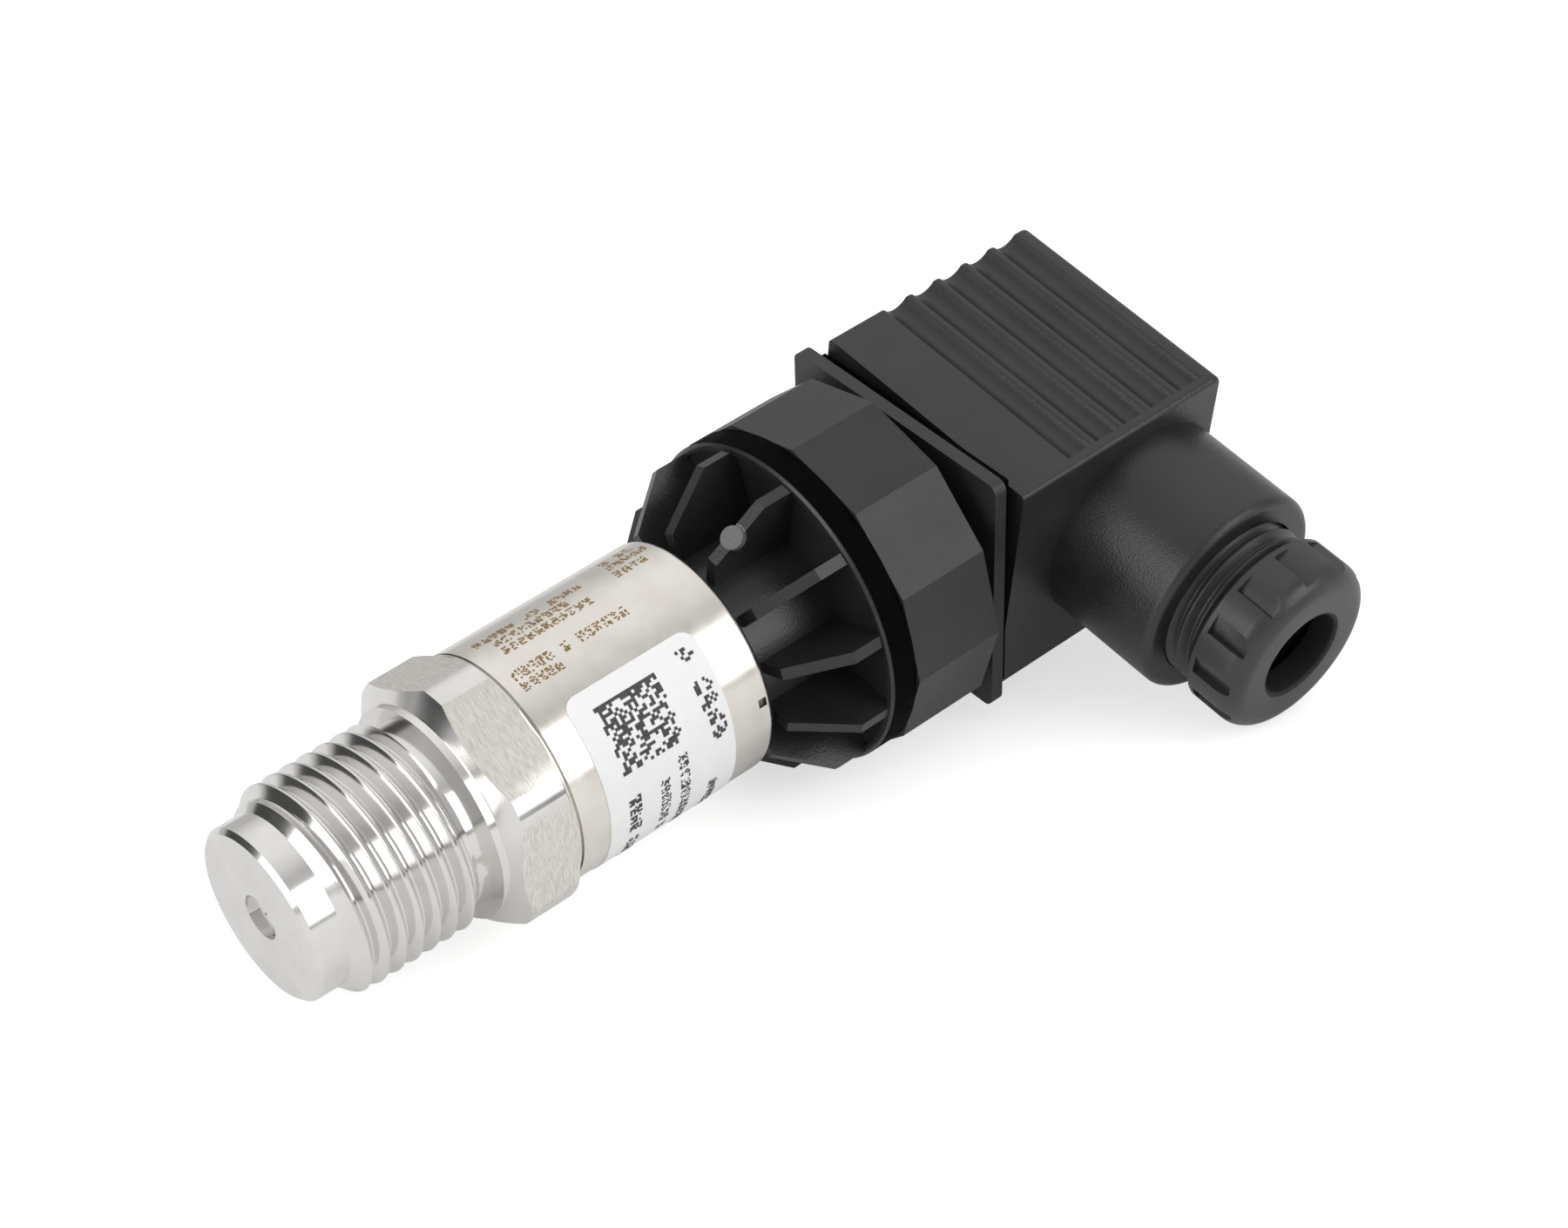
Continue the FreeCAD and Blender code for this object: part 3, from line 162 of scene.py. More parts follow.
def colour_ramp(tree, value, stops):
    """Colours blended along a value, from (position, colour) stops in rising order."""
    ramp_node = shader_node(tree, "ValToRGB", {"Fac": value})
    ramp = ramp_node.color_ramp
    ramp.elements[0].position = stops[0][0]
    ramp.elements[1].position = stops[-1][0]
    for position, _ in stops[1:-1]:
        ramp.elements.new(position)
    for element, (_, colour) in zip(ramp.elements, stops):
        element.color = (*colour, 1)
    return ramp_node.outputs["Color"]


def mottled(tree, shader, place, scale, dark, light, rough_low, rough_high):
    """Uneven colour and gloss in soft patches; `scale` is in patches per mm."""
    patches = shader_node(tree, "TexNoise", {"Vector": place, "Scale": scale, "Detail": 3.0})
    colours = colour_ramp(
        tree, patches.outputs["Fac"], ((PATCH_DARK, dark), (PATCH_LIGHT, light)))
    tree.links.new(colours, shader.inputs["Base Color"])
    gloss = shader_node(tree, "MapRange", {
        "Value": patches.outputs["Fac"], "From Min": PATCH_DARK, "From Max": PATCH_LIGHT,
        "To Min": rough_low, "To Max": rough_high,
    })
    tree.links.new(gloss.outputs["Result"], shader.inputs["Roughness"])


def raised_by(tree, shader, height, depth):
    """Relief from a pattern's height; `depth` is in mm from its lowest to its highest point."""
    relief = shader_node(tree, "Bump", {"Height": height, "Strength": 1.0, "Distance": depth * MM})
    tree.links.new(relief.outputs["Normal"], shader.inputs["Normal"])


def turned_steel(name, shade, tint, lines_per_mm, line_depth, roughness):
    """Bright turned steel: fine rings round the axis, and a soft unevenness of tint and gloss."""
    finish, tree, shader, place = new_finish(name, {"Metallic": 1.0})
    mottled(tree, shader, place, 0.35, shade, tint, roughness, roughness * 1.35)
    parts = shader_node(tree, "SeparateXYZ", {"Vector": place}).outputs
    across = shader_node(tree, "CombineXYZ", {"Y": parts["Y"], "Z": parts["Z"]})
    radius = shader_node(tree, "VectorMath", {0: across.outputs["Vector"]}, operation="LENGTH")
    wander = shader_node(tree, "TexNoise", {"Vector": place, "Scale": 0.25, "Detail": 1.0})
    ring_place = shader_node(tree, "CombineXYZ", {
        "X": parts["X"], "Y": radius.outputs["Value"], "Z": wander.outputs["Fac"],
    })
    rings = shader_node(tree, "TexNoise", {
        "Vector": ring_place.outputs["Vector"], "Scale": lines_per_mm, "Detail": 2.0,
    })
    raised_by(tree, shader, rings.outputs["Fac"], line_depth)
    return finish


def milled_steel(name):
    """Steel with short cutter strokes across the axis, as on the flats of the hexagon."""
    finish, tree, shader, place = new_finish(name, {"Metallic": 1.0, "Roughness": 0.38})
    narrowed = shader_node(
        tree, "VectorMath", {0: place, 1: (14.0, 1.0, 1.0)}, operation="MULTIPLY")
    strokes = shader_node(tree, "TexNoise", {
        "Vector": narrowed.outputs["Vector"], "Scale": 1.0, "Detail": 3.0, "Roughness": 0.6,
    })
    colours = colour_ramp(
        tree, strokes.outputs["Fac"], ((0.36, STROKE_SHADE), (0.60, STROKE_SHINE)))
    tree.links.new(colours, shader.inputs["Base Color"])
    raised_by(tree, shader, strokes.outputs["Fac"], 0.012)
    return finish


def choose(piece, *others):
    """Select these pieces and no more, the first of them the one that the next tools act on."""
    bpy.ops.object.select_all(action="DESELECT")
    for chosen in (piece, *others):
        chosen.select_set(True)
    bpy.context.view_layer.objects.active = piece


def open_for_editing(piece):
    """Go from a piece to its points, with nothing selected in it."""
    choose(piece)
    bpy.ops.object.mode_set(mode="EDIT")
    bpy.ops.mesh.select_mode(type="VERT")
    bpy.ops.mesh.select_all(action="DESELECT")


def close_editing():
    """Go back from the piece's points to the piece."""
    bpy.ops.object.mode_set(mode="OBJECT")


def open_with(piece, kind, wanted):
    """Open a piece with those faces or edges selected that `wanted` picks."""
    open_for_editing(piece)
    bpy.ops.mesh.select_mode(type=kind)
    mesh = bmesh.from_edit_mesh(piece.data)
    for part in mesh.faces if kind == "FACE" else mesh.edges:
        part.select_set(wanted(part))
    bmesh.update_edit_mesh(piece.data)


def facing_out(piece):
    """Turn all the faces of a piece outwards."""
    open_for_editing(piece)
    bpy.ops.mesh.select_all(action="SELECT")
    bpy.ops.mesh.normals_make_consistent(inside=False)
    close_editing()


def apply_modifier(piece, kind, **settings):
    """Add a modifier, set it and apply it."""
    choose(piece)
    modifier = piece.modifiers.new(kind.lower(), kind)
    for name, setting in settings.items():
        setattr(modifier, name, setting)
    bpy.ops.object.modifier_apply(modifier=modifier.name)


def taken_from(node, name):
    """A copy of a solid, brought back to the drawing, its triangles joined to whole faces."""
    mesh = frame["nodes"][node].data.copy()
    mesh.transform(laid_to_drawn)
    piece = bpy.data.objects.new(name, mesh)
    bpy.context.scene.collection.objects.link(piece)
    open_for_editing(piece)
    bpy.ops.mesh.customdata_custom_splitnormals_clear()
    bpy.ops.mesh.select_all(action="SELECT")
    bpy.ops.mesh.remove_doubles(threshold=SAME_POINT)
    bpy.ops.mesh.dissolve_limited(angle_limit=math.radians(SAME_FACE_DEGREES))
    close_editing()
    return piece


def laid_down(piece, finish, body, replaced=()):
    """Finish a drawn piece: smooth it, lay it where the object lies, and fix it to its body."""
    choose(piece)
    bpy.ops.object.shade_smooth_by_angle(angle=math.radians(SOFT_EDGE_DEGREES))
    piece.data.transform(drawn_to_laid)
    piece.data.materials.clear()
    piece.data.materials.append(finish)
    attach(piece, body)
    if replaced:
        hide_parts(*replaced)


def drawn_line(name, points):
    """A line through (along, radius) points, left open for editing with its end selected."""
    bpy.ops.mesh.primitive_plane_add(size=0.1, location=(0, 0, 0))
    piece = bpy.context.object
    piece.name = name
    open_for_editing(piece)
    bpy.ops.mesh.select_all(action="SELECT")
    bpy.ops.mesh.merge(type="CENTER")
    here = Vector((points[0][0], 0, points[0][1]))
    bpy.ops.transform.translate(value=here)
    for place, radius in points[1:]:
        step = Vector((place, 0, radius)) - here
        bpy.ops.mesh.extrude_region_move(TRANSFORM_OT_translate={"value": step})
        here += step
    return piece


def thread_sleeve(name, start, end, root, crest, pitch, crest_at):
    """The skin of a screw thread round X: one rounded profile, repeated, turned and advanced."""
    tip = FORM_ROUNDING * (crest - root) / FORM_HEIGHT
    tip_swing = math.pi / 2 - math.radians(FORM_FLANK_DEGREES)
    points = []
    for centre, radius_to, outward in ((0.0, root + tip, -1), (pitch / 2, crest - tip, 1)):
        for step in range(-STEPS_PER_HALF_TIP, STEPS_PER_HALF_TIP + 1):
            swing = step / STEPS_PER_HALF_TIP * tip_swing
            points.append((
                centre + tip * math.sin(swing), radius_to + outward * tip * math.cos(swing)))
    points = [point for point in points if point[0] >= 0]
    second_flank = reversed(points[:-STEPS_PER_HALF_TIP - 1])
    points += [(pitch - place, radius) for place, radius in second_flank]
    sleeve = drawn_line(name, points)
    close_editing()
    apply_modifier(
        sleeve, "ARRAY", count=math.ceil((end - start) / pitch) + 3, use_relative_offset=False,
        use_constant_offset=True, constant_offset_displace=(pitch, 0, 0),
        use_merge_vertices=True, merge_threshold=TOUCHING)
    apply_modifier(
        sleeve, "SCREW", axis="X", angle=2 * math.pi, screw_offset=pitch, steps=STEPS_PER_TURN,
        render_steps=STEPS_PER_TURN, use_merge_vertices=True, merge_threshold=TOUCHING)
    first_crest = crest_at - pitch * math.ceil((crest_at - start) / pitch + 1)
    sleeve.data.transform(Matrix.Translation((first_crest - pitch / 2, 0, 0)))
    return sleeve


def limit_radius(piece, allowed):
    """Turn a sleeve down to the radius that `allowed` gives along X."""
    for point in piece.data.vertices:
        radius = math.hypot(point.co.y, point.co.z)
        wanted = min(radius, allowed(point.co.x))
        point.co.y *= wanted / radius
        point.co.z *= wanted / radius


def trim_to(piece, start, end):
    """Cut a sleeve off square at both ends."""
    for place, outer in ((start, False), (end, True)):
        open_for_editing(piece)
        bpy.ops.mesh.select_all(action="SELECT")
        bpy.ops.mesh.remove_doubles(threshold=TOUCHING)
        bpy.ops.mesh.bisect(
            plane_co=(place, 0, 0), plane_no=(1, 0, 0), clear_inner=not outer, clear_outer=outer)
        close_editing()


def join_rims(carrier, sleeve, places):
    """Join a sleeve to the open solid that carries it, and close the gaps between their rims."""
    choose(carrier, sleeve)
    bpy.ops.object.join()
    for low, high in places:
        open_with(carrier, "EDGE", lambda edge: edge.is_boundary and all(
            low <= point.co.x <= high for point in edge.verts))
        bpy.ops.mesh.bridge_edge_loops()
        close_editing()
    facing_out(carrier)


def threaded(piece, plain, allowed, sleeve, start, end):
    """Put a thread's sleeve on a piece, in place of the faces of its plain cylinder."""
    open_with(piece, "FACE", plain)
    bpy.ops.mesh.delete(type="FACE")
    close_editing()
    limit_radius(sleeve, allowed)
    trim_to(sleeve, start + RIM_GAP, end - RIM_GAP)
    join_rims(piece, sleeve, (
        (start - 2 * RIM_GAP, start + 2 * RIM_GAP), (end - 2 * RIM_GAP, end + 2 * RIM_GAP)))


def on_pipe_thread(face):
    """Whether a face is part of the plain cylinder that stands for the pipe thread."""
    place = face.calc_center_median()
    inside = PILOT_LENGTH < place.x < THREAD_END and place.yz.length > THREAD_PAST
    return inside and all(
        PILOT_LENGTH - SLACK < point.co.x < THREAD_END + SLACK for point in face.verts)


def pipe_thread_limit(place):
    """Radius left by the lead-in and the run-out of the pipe thread."""
    lead_in = PILOT_RADIUS + (place - PILOT_LENGTH)
    run_out = UNDERCUT_RADIUS + (THREAD_END - place) * RUN_OUT_SLOPE
    return min(lead_in, run_out)


def half_corner(radius):
    """Half the angle that a corner turned to this radius takes up between two flats."""
    return CORNER_STEP / 2 - math.degrees(math.acos(HEXAGON_FLAT / radius))


def on_flat(face):
    """Whether a laid face lies on one of the hexagon's flats."""
    centre = laid_to_drawn @ face.center
    facing = (unturned @ face.normal).normalized()
    off_flat = abs(centre.y * facing.y + centre.z * facing.z - HEXAGON_FLAT)
    level = off_flat < FLAT_WITHIN and abs(facing.x) < FLAT_TILT
    return level and HEXAGON_FROM < centre.x < HEXAGON_TO


connection = taken_from("process_connection", "turned_process_connection")

# The corners are turned down a little more than the solid's, and end where the cones do.
squeeze = half_corner(TURNED_CORNER) / half_corner(HEXAGON_CORNER)
for point in connection.data.vertices:
    if point.co.yz.length < TURNED_CORNER:
        continue
    clock = math.degrees(math.atan2(point.co.z, point.co.y))
    past_corner = (clock - CORNER_CLOCK + CORNER_STEP / 2) % CORNER_STEP - CORNER_STEP / 2
    wanted = min(half_corner(TURNED_CORNER), abs(past_corner) * squeeze)
    turn = math.radians(clock - past_corner + math.copysign(wanted, past_corner))
    point.co = (
        TURNED_FROM if point.co.x < HEXAGON_MIDDLE else TURNED_TO,
        TURNED_CORNER * math.cos(turn), TURNED_CORNER * math.sin(turn))
open_for_editing(connection)
bpy.ops.mesh.select_all(action="SELECT")
bpy.ops.mesh.remove_doubles(threshold=SAME_CORNER)
close_editing()

thread = thread_sleeve(
    "pipe_thread", PILOT_LENGTH, THREAD_END, THREAD_ROOT, THREAD_CREST, THREAD_PITCH, FIRST_CREST)
threaded(connection, on_pipe_thread, pipe_thread_limit, thread, PILOT_LENGTH, THREAD_END)
steel = turned_steel("turned_steel", STEEL_SHADE, STEEL, 7.0, 0.0022, 0.12)
laid_down(connection, steel, "transmitter", ["process_connection"])
connection.data.materials.append(milled_steel("milled_flats"))
for face in connection.data.polygons:
    if on_flat(face):
        face.material_index = 1

# ---------------------------------------------------------------- port throttle
# A steel plug pressed into the port just behind its mouth. A hole as fine as a needle lets the
# pressure through and keeps its shocks from the cell.

THROTTLE_RADIUS = 2.24
THROTTLE_FRONT = 0.6
THROTTLE_LENGTH = 2.4
THROTTLE_HOLE = 0.15
THROTTLE_HOLE_SHARE = 0.8

bpy.ops.mesh.primitive_cylinder_add(
    vertices=64, radius=THROTTLE_RADIUS, depth=THROTTLE_LENGTH, rotation=(0, math.pi / 2, 0),
    location=(THROTTLE_FRONT + THROTTLE_LENGTH / 2, 0, 0))
throttle = bpy.context.object
throttle.name = "port_throttle"
bpy.ops.object.transform_apply(location=True, rotation=True, scale=True)
open_with(throttle, "FACE", lambda face: face.normal.x < -0.9)
bpy.ops.mesh.inset(thickness=THROTTLE_RADIUS - THROTTLE_HOLE)
hole_depth = Vector((THROTTLE_LENGTH * THROTTLE_HOLE_SHARE, 0, 0))
bpy.ops.mesh.extrude_region_move(TRANSFORM_OT_translate={"value": hole_depth})
close_editing()
laid_down(throttle, steel, "transmitter")

# ---------------------------------------------------------------- case tube
# Drawn stainless tube, welded to the hexagon and rolled in over the adapter at the rear. A
# laser marks its rating by tempering the steel brown; here the marks are rows of dots that
# spell nothing. The rolled edge has one dent, whose faces are painted in a dark steel as
# painted shade.

TUBE_RADIUS = 12.15
DENT_FROM = 48.05
DENT_TO = 49.05
DENT_CLOCK = 160
DENT_HALF_SWEEP = 3
DENT_BELOW = 12.1
MARK_SKIN = 0.03
DOT_ROWS = 7
DOT_COLUMNS = 4
DOT_FILL = 0.46
LETTER_SHARE = 0.8
BLANK_SHARE = 0.12
LASER_LETTER = 0.95
LASER_BROWN = (0.20, 0.125, 0.05)
LASER_TAN = (0.40, 0.28, 0.13)

# Each line of the laser's marks: from x, to x, from clock, to clock.
LASER_LINES = (
    (28.5, 41.6, 59, 64), (28.8, 40.2, 66, 71), (29.6, 41.0, 73, 78), (28.2, 42.4, 88, 93.5),
    (28.2, 34.6, 95, 100), (44.3, 48.6, 52, 57), (44.0, 48.8, 59, 64), (43.7, 47.6, 67, 72))


def in_dent(face):
    """Whether a laid face is in the dent of the rolled edge."""
    centre = laid_to_drawn @ face.center
    past_dent = math.degrees(math.atan2(centre.z, centre.y)) - DENT_CLOCK
    inside = DENT_FROM < centre.x < DENT_TO and abs(past_dent) < DENT_HALF_SWEEP
    return inside and centre.yz.length < DENT_BELOW


def plain_finish(name, settings, scale, dark, light, rough_low, rough_high):
    """A finish with soft patches and no relief."""
    finish, tree, shader, place = new_finish(name, settings)
    mottled(tree, shader, place, scale, dark, light, rough_low, rough_high)
    return finish


def wrapped_strokes(name, strokes, radius, finish):
    """Flat strokes wrapped round the tube: each is (from x, to x, from clock, to clock)."""
    copies = []
    for start, end, clock_from, clock_to in strokes:
        copy = bpy.data.objects.new(name, stroke.data.copy())
        bpy.context.scene.collection.objects.link(copy)
        for point in copy.data.vertices:
            clock = math.radians(clock_from + (clock_to - clock_from) * (point.co.x + 0.5))
            reach = radius + MARK_SKIN * (point.co.z * 2)
            place = start + (end - start) * (point.co.y + 0.5)
            point.co = (place, reach * math.cos(clock), reach * math.sin(clock))
        copies.append(copy)
    choose(*copies)
    bpy.ops.object.join()
    copies[0].name = name
    facing_out(copies[0])
    laid_down(copies[0], finish, "transmitter")


def runs_of_dots(rows, columns, fill, draw, edged=False):
    """Dark runs in a field of dots, as (row, first column, column after the last)."""
    found = []
    for row in range(rows):
        dark = [
            draw.random() < fill or edged and 0 in (row, column) for column in range(columns)]
        first = None
        for column in range(columns + 1):
            if column < columns and dark[column]:
                first = column if first is None else first
            elif first is not None:
                found.append((row, first, column))
                first = None
    return found


def line_of_print(line_from, line_to, low, high, letter, draw):
    """A line of letters made of chance dots: each run is (from, to) along, then across it."""
    found = []
    place = line_from
    dot = letter * LETTER_SHARE / DOT_COLUMNS
    rise = (high - low) / DOT_ROWS
    while place + letter < line_to:
        if draw.random() > BLANK_SHARE:
            for row, first, after in runs_of_dots(DOT_ROWS, DOT_COLUMNS, DOT_FILL, draw):
                found.append((
                    place + first * dot, place + after * dot,
                    low + row * rise, low + (row + 1) * rise))
        place += letter
    return found


tube = taken_from("case_tube", "rolled_case_tube")
tube_steel = turned_steel(
    "drawn_steel", (0.74, 0.705, 0.65), (0.82, 0.79, 0.74), 5.0, 0.0012, 0.2)
laid_down(tube, tube_steel, "transmitter", ["case_tube"])
# The dent's faces get a dark steel: painted shade that stands for the shadow in the dent.
dent_painted_shade = turned_steel(
    "dent_painted_shade", (0.16, 0.15, 0.14), (0.28, 0.265, 0.25), 5.0, 0.002, 0.4)
tube.data.materials.append(dent_painted_shade)
for face in tube.data.polygons:
    if in_dent(face):
        face.material_index = 1

# One block, cut twice so that it can bend round the tube, is the pattern of every stroke.
bpy.ops.mesh.primitive_cube_add(size=1, location=(0, 0, 0))
stroke = bpy.context.object
stroke.name = "stroke"
open_with(stroke, "EDGE", lambda edge: abs(edge.verts[0].co.x - edge.verts[1].co.x) > 0.5)
bpy.ops.mesh.subdivide(number_cuts=2)
close_editing()

laser = random.Random(4)
laser_strokes = []
for line in LASER_LINES:
    laser_strokes += line_of_print(*line, LASER_LETTER, laser)
laser_mark = plain_finish(
    "laser_mark", {"Metallic": 0.6}, 2.0, LASER_BROWN, LASER_TAN, 0.3, 0.45)
wrapped_strokes("laser_marks", laser_strokes, TUBE_RADIUS, laser_mark)

# ---------------------------------------------------------------- weld
# The seam that joins the tube to the hexagon all round: a narrow steel bead, sunk a little
# below both, with the same finish as the tube.

SEAM_FROM = 26.45
SEAM_TO = 26.76
SEAM_MIDDLE = (SEAM_FROM + SEAM_TO) / 2
SEAM_HALF_TOP = 0.06
SEAM_FLOOR = 11.7
SEAM_SHOULDER = 12.0
SEAM_TOP = 12.09
RING_STEPS = 128


def turned_ring(name, corners):
    """A ring turned from a closed outline of (along, radius) corners."""
    ring = drawn_line(name, corners + corners[:1])
    bpy.ops.mesh.select_all(action="SELECT")
    bpy.ops.mesh.remove_doubles(threshold=TOUCHING)
    bpy.ops.mesh.spin(steps=RING_STEPS, angle=2 * math.pi, center=(0, 0, 0), axis=(1, 0, 0))
    bpy.ops.mesh.select_all(action="SELECT")
    bpy.ops.mesh.remove_doubles(threshold=TOUCHING)
    close_editing()
    facing_out(ring)
    return ring


seam = turned_ring("weld_seam", [
    (SEAM_FROM, SEAM_FLOOR), (SEAM_FROM, SEAM_SHOULDER), (SEAM_MIDDLE - SEAM_HALF_TOP, SEAM_TOP),
    (SEAM_MIDDLE + SEAM_HALF_TOP, SEAM_TOP), (SEAM_TO, SEAM_SHOULDER), (SEAM_TO, SEAM_FLOOR)])
laid_down(seam, tube_steel, "transmitter")

# ---------------------------------------------------------------- case label
# A white film label with rounded corners, stuck half round the tube. It carries a code block
# and lines of print, drawn here as chance cells and rows of dots that say nothing.

LABEL_RADIUS = 12.27
CODE_FROM = 32.3
CODE_TO = 39.4
CODE_CLOCK_FROM = 121.6
CODE_CLOCK_TO = 154.0
CODE_CELLS = 22
CODE_FILL = 0.5
FILM_GREY = (0.93, 0.93, 0.93)
FILM_WHITE = (0.96, 0.96, 0.955)
INK = (0.045, 0.042, 0.045)
THIN_INK = (0.10, 0.095, 0.10)

# Each line of the print: from clock, to clock, from x, to x, sweep of a letter.
LABEL_LINES = (
    (119, 181, 42.2, 44.2, 7.6), (160, 214, 38.2, 39.3, 3.9), (167, 205, 35.9, 37.0, 3.9),
    (166, 222, 32.2, 33.6, 5.4), (186, 226, 41.6, 42.7, 3.9))


def grained(tree, shader, place, grains_per_mm, depth, detail=2.0):
    """A fine even grain in the skin, `depth` mm deep."""
    grain = shader_node(tree, "TexNoise", {
        "Vector": place, "Scale": grains_per_mm, "Detail": detail})
    raised_by(tree, shader, grain.outputs["Fac"], depth)


film, tree, shader, place = new_finish("label_film", {"Specular IOR Level": 0.4})
mottled(tree, shader, place, 0.5, FILM_GREY, FILM_WHITE, 0.42, 0.55)
grained(tree, shader, place, 4.0, 0.004)
label = taken_from("case_label", "printed_case_label")
laid_down(label, film, "transmitter", ["case_label"])

ink = plain_finish("label_ink", {"Specular IOR Level": 0.3}, 3.0, INK, THIN_INK, 0.5, 0.65)
printer = random.Random(11)
print_strokes = []
cell_length = (CODE_TO - CODE_FROM) / CODE_CELLS
cell_sweep = (CODE_CLOCK_TO - CODE_CLOCK_FROM) / CODE_CELLS
for row, first, after in runs_of_dots(CODE_CELLS, CODE_CELLS, CODE_FILL, printer, edged=True):
    print_strokes.append((
        CODE_FROM + row * cell_length, CODE_FROM + (row + 1) * cell_length,
        CODE_CLOCK_FROM + first * cell_sweep, CODE_CLOCK_FROM + after * cell_sweep))
for line in LABEL_LINES:
    for clock_from, clock_to, start, end in line_of_print(*line, printer):
        print_strokes.append((start, end, clock_from, clock_to))
wrapped_strokes("label_print", print_strokes, LABEL_RADIUS, ink)
bpy.data.objects.remove(stroke)

# ---------------------------------------------------------------- pressure cell and electronics
# Sealed in the case: a steel cell on its rubber ring, held by a screwed ring, and one green
# board with its components. Insulated leads run from the cell to the board and on to the plug.

BOARD_SHADE = (0.018, 0.105, 0.042)
BOARD_GREEN = (0.028, 0.15, 0.06)
CHIP_SHADE = (0.018, 0.018, 0.019)
CHIP_BLACK = (0.03, 0.03, 0.031)
LEAD_SHADE = (0.42, 0.035, 0.028)
LEAD_RED = (0.52, 0.05, 0.035)


def coated(node, finish):
    """Give a solid that stays as it is its finish."""
    for entry in frame["nodes"][node].material_slots:
        entry.material = finish


coated("pressure_cell", steel)
coated("cell_retainer", steel)
laminate = plain_finish(
    "board_laminate", {"Specular IOR Level": 0.5}, 1.2, BOARD_SHADE, BOARD_GREEN, 0.3, 0.45)
coated("circuit_board", laminate)
chip = plain_finish(
    "chip_plastic", {"Specular IOR Level": 0.4}, 3.0, CHIP_SHADE, CHIP_BLACK, 0.5, 0.65)
coated("board_components", chip)
insulation = plain_finish(
    "lead_insulation", {"Specular IOR Level": 0.5}, 1.5, LEAD_SHADE, LEAD_RED, 0.3, 0.4)
coated("sensor_leads", insulation)
coated("plug_leads", insulation)

# ---------------------------------------------------------------- rubber seals
# Moulded black rubber with a dull skin: the ring behind the cell, the ring in the adapter's
# groove, the flat ring in front of the collar, the plug's gasket, the seal under the screw
# head and the grommet that the gland squeezes round the cable.

# The flat ring in front of the collar laps over the edge of the adapter's disc.
LIP_OUTER = 17.05
LIP_INNER = 17.0
LIP_FRONT = 60.4
LIP_SEAT = 61.42
RING_INNER = 13.3
RING_REAR = 62.99
RUBBER_SHADE = (0.0012, 0.0012, 0.0013)
RUBBER_BLACK = (0.0022, 0.0022, 0.0024)

rubber, tree, shader, place = new_finish("black_rubber", {"Specular IOR Level": 0.03})
mottled(tree, shader, place, 0.8, RUBBER_SHADE, RUBBER_BLACK, 0.6, 0.8)
grained(tree, shader, place, 5.0, 0.01, detail=3.0)
for node in ("cell_seal", "adapter_seal", "flat_gasket", "screw_seal", "gland_grommet"):
    coated(node, rubber)
lip_ring = turned_ring("moulded_collar_seal", [
    (LIP_SEAT, RING_INNER), (LIP_SEAT, LIP_INNER), (LIP_FRONT, LIP_INNER), (LIP_FRONT, LIP_OUTER),
    (RING_REAR, LIP_OUTER), (RING_REAR, RING_INNER)])
laid_down(lip_ring, rubber, "transmitter", ["collar_seal"])

# ---------------------------------------------------------------- ribbed adapter
# Moulded in glass-filled plastic: a hub with twelve gusset ribs behind a thin disc. One rib
# carries the round, paler mark of an ejector pin.

PIN_PLACE = 53.55
PIN_REACH = 14.25
PIN_CLOCK = math.radians(92.8)
PIN_RADIUS = 1.3
PIN_GREY = (0.13, 0.13, 0.135)
RIM_FROM = LIP_FRONT - 0.05
RIM_RADIUS = LIP_INNER - 0.02


def moulded_plastic(name, dark, light, grains_per_mm, grain_depth, rough_low, rough_high):
    """Glass-filled plastic: dark grey with soft flow patches and a fine leathery grain."""
    finish, tree, shader, place = new_finish(name, {"Specular IOR Level": 0.5})
    mottled(tree, shader, place, 0.16, dark, light, rough_low, rough_high)
    grained(tree, shader, place, grains_per_mm, grain_depth)
    return finish


def calculated(tree, operation, first, second):
    """The result of one sum or comparison on two values of a material."""
    return shader_node(tree, "Math", {0: first, 1: second}, operation=operation).outputs["Value"]


def marked_at(finish, centre, radius, colour):
    """Give a finish another colour within a radius of one place, both in drawing mm."""
    tree = finish.node_tree
    base = tree.nodes["Principled BSDF"].inputs["Base Color"]
    place = tree.nodes["Mapping"].outputs["Vector"]
    away = shader_node(tree, "VectorMath", {0: place, 1: centre}, operation="DISTANCE")
    inside = calculated(tree, "LESS_THAN", away.outputs["Value"], radius)
    plain = base.links[0].from_socket
    both = shader_node(tree, "Mix", {0: inside, 6: plain, 7: (*colour, 1)}, data_type="RGBA")
    tree.links.new(both.outputs[2], base)


adapter_plastic = moulded_plastic(
    "adapter_plastic", (0.014, 0.0145, 0.0155), (0.022, 0.0225, 0.0235), 3.5, 0.022, 0.24, 0.34)
pin_centre = (PIN_PLACE, PIN_REACH * math.cos(PIN_CLOCK), PIN_REACH * math.sin(PIN_CLOCK))
marked_at(adapter_plastic, pin_centre, PIN_RADIUS, PIN_GREY)

# The disc's rim is turned down a hair where the rubber lip covers it.
adapter = taken_from("adapter", "moulded_adapter")
open_for_editing(adapter)
bpy.ops.mesh.select_all(action="SELECT")
bpy.ops.mesh.bisect(plane_co=(RIM_FROM, 0, 0), plane_no=(1, 0, 0))
close_editing()
for point in adapter.data.vertices:
    radius = point.co.yz.length
    if point.co.x > RIM_FROM - SLACK and radius > RIM_RADIUS:
        point.co.yz *= RIM_RADIUS / radius
laid_down(adapter, adapter_plastic, "transmitter", ["adapter"])

# ---------------------------------------------------------------- plug base
# The twelve-sided collar with its square flange, moulded in one and screwed on the adapter's
# stud. Three contact blades and an earth blade stand in it, with a brass bush for the screw.

FLANGE_FROM = 75.65
FLANGE_TO = 77.15
FLANGE_HALF = 14.17
FLANGE_ROUND = 2.2
SHARP_ROUND = 1.1
FLANGE_CLOCK = -6.7
BRASS_SHADE = (0.55, 0.38, 0.14)
BRASS = (0.66, 0.47, 0.2)
TIN_SHADE = (0.62, 0.61, 0.58)
TIN = (0.72, 0.71, 0.68)

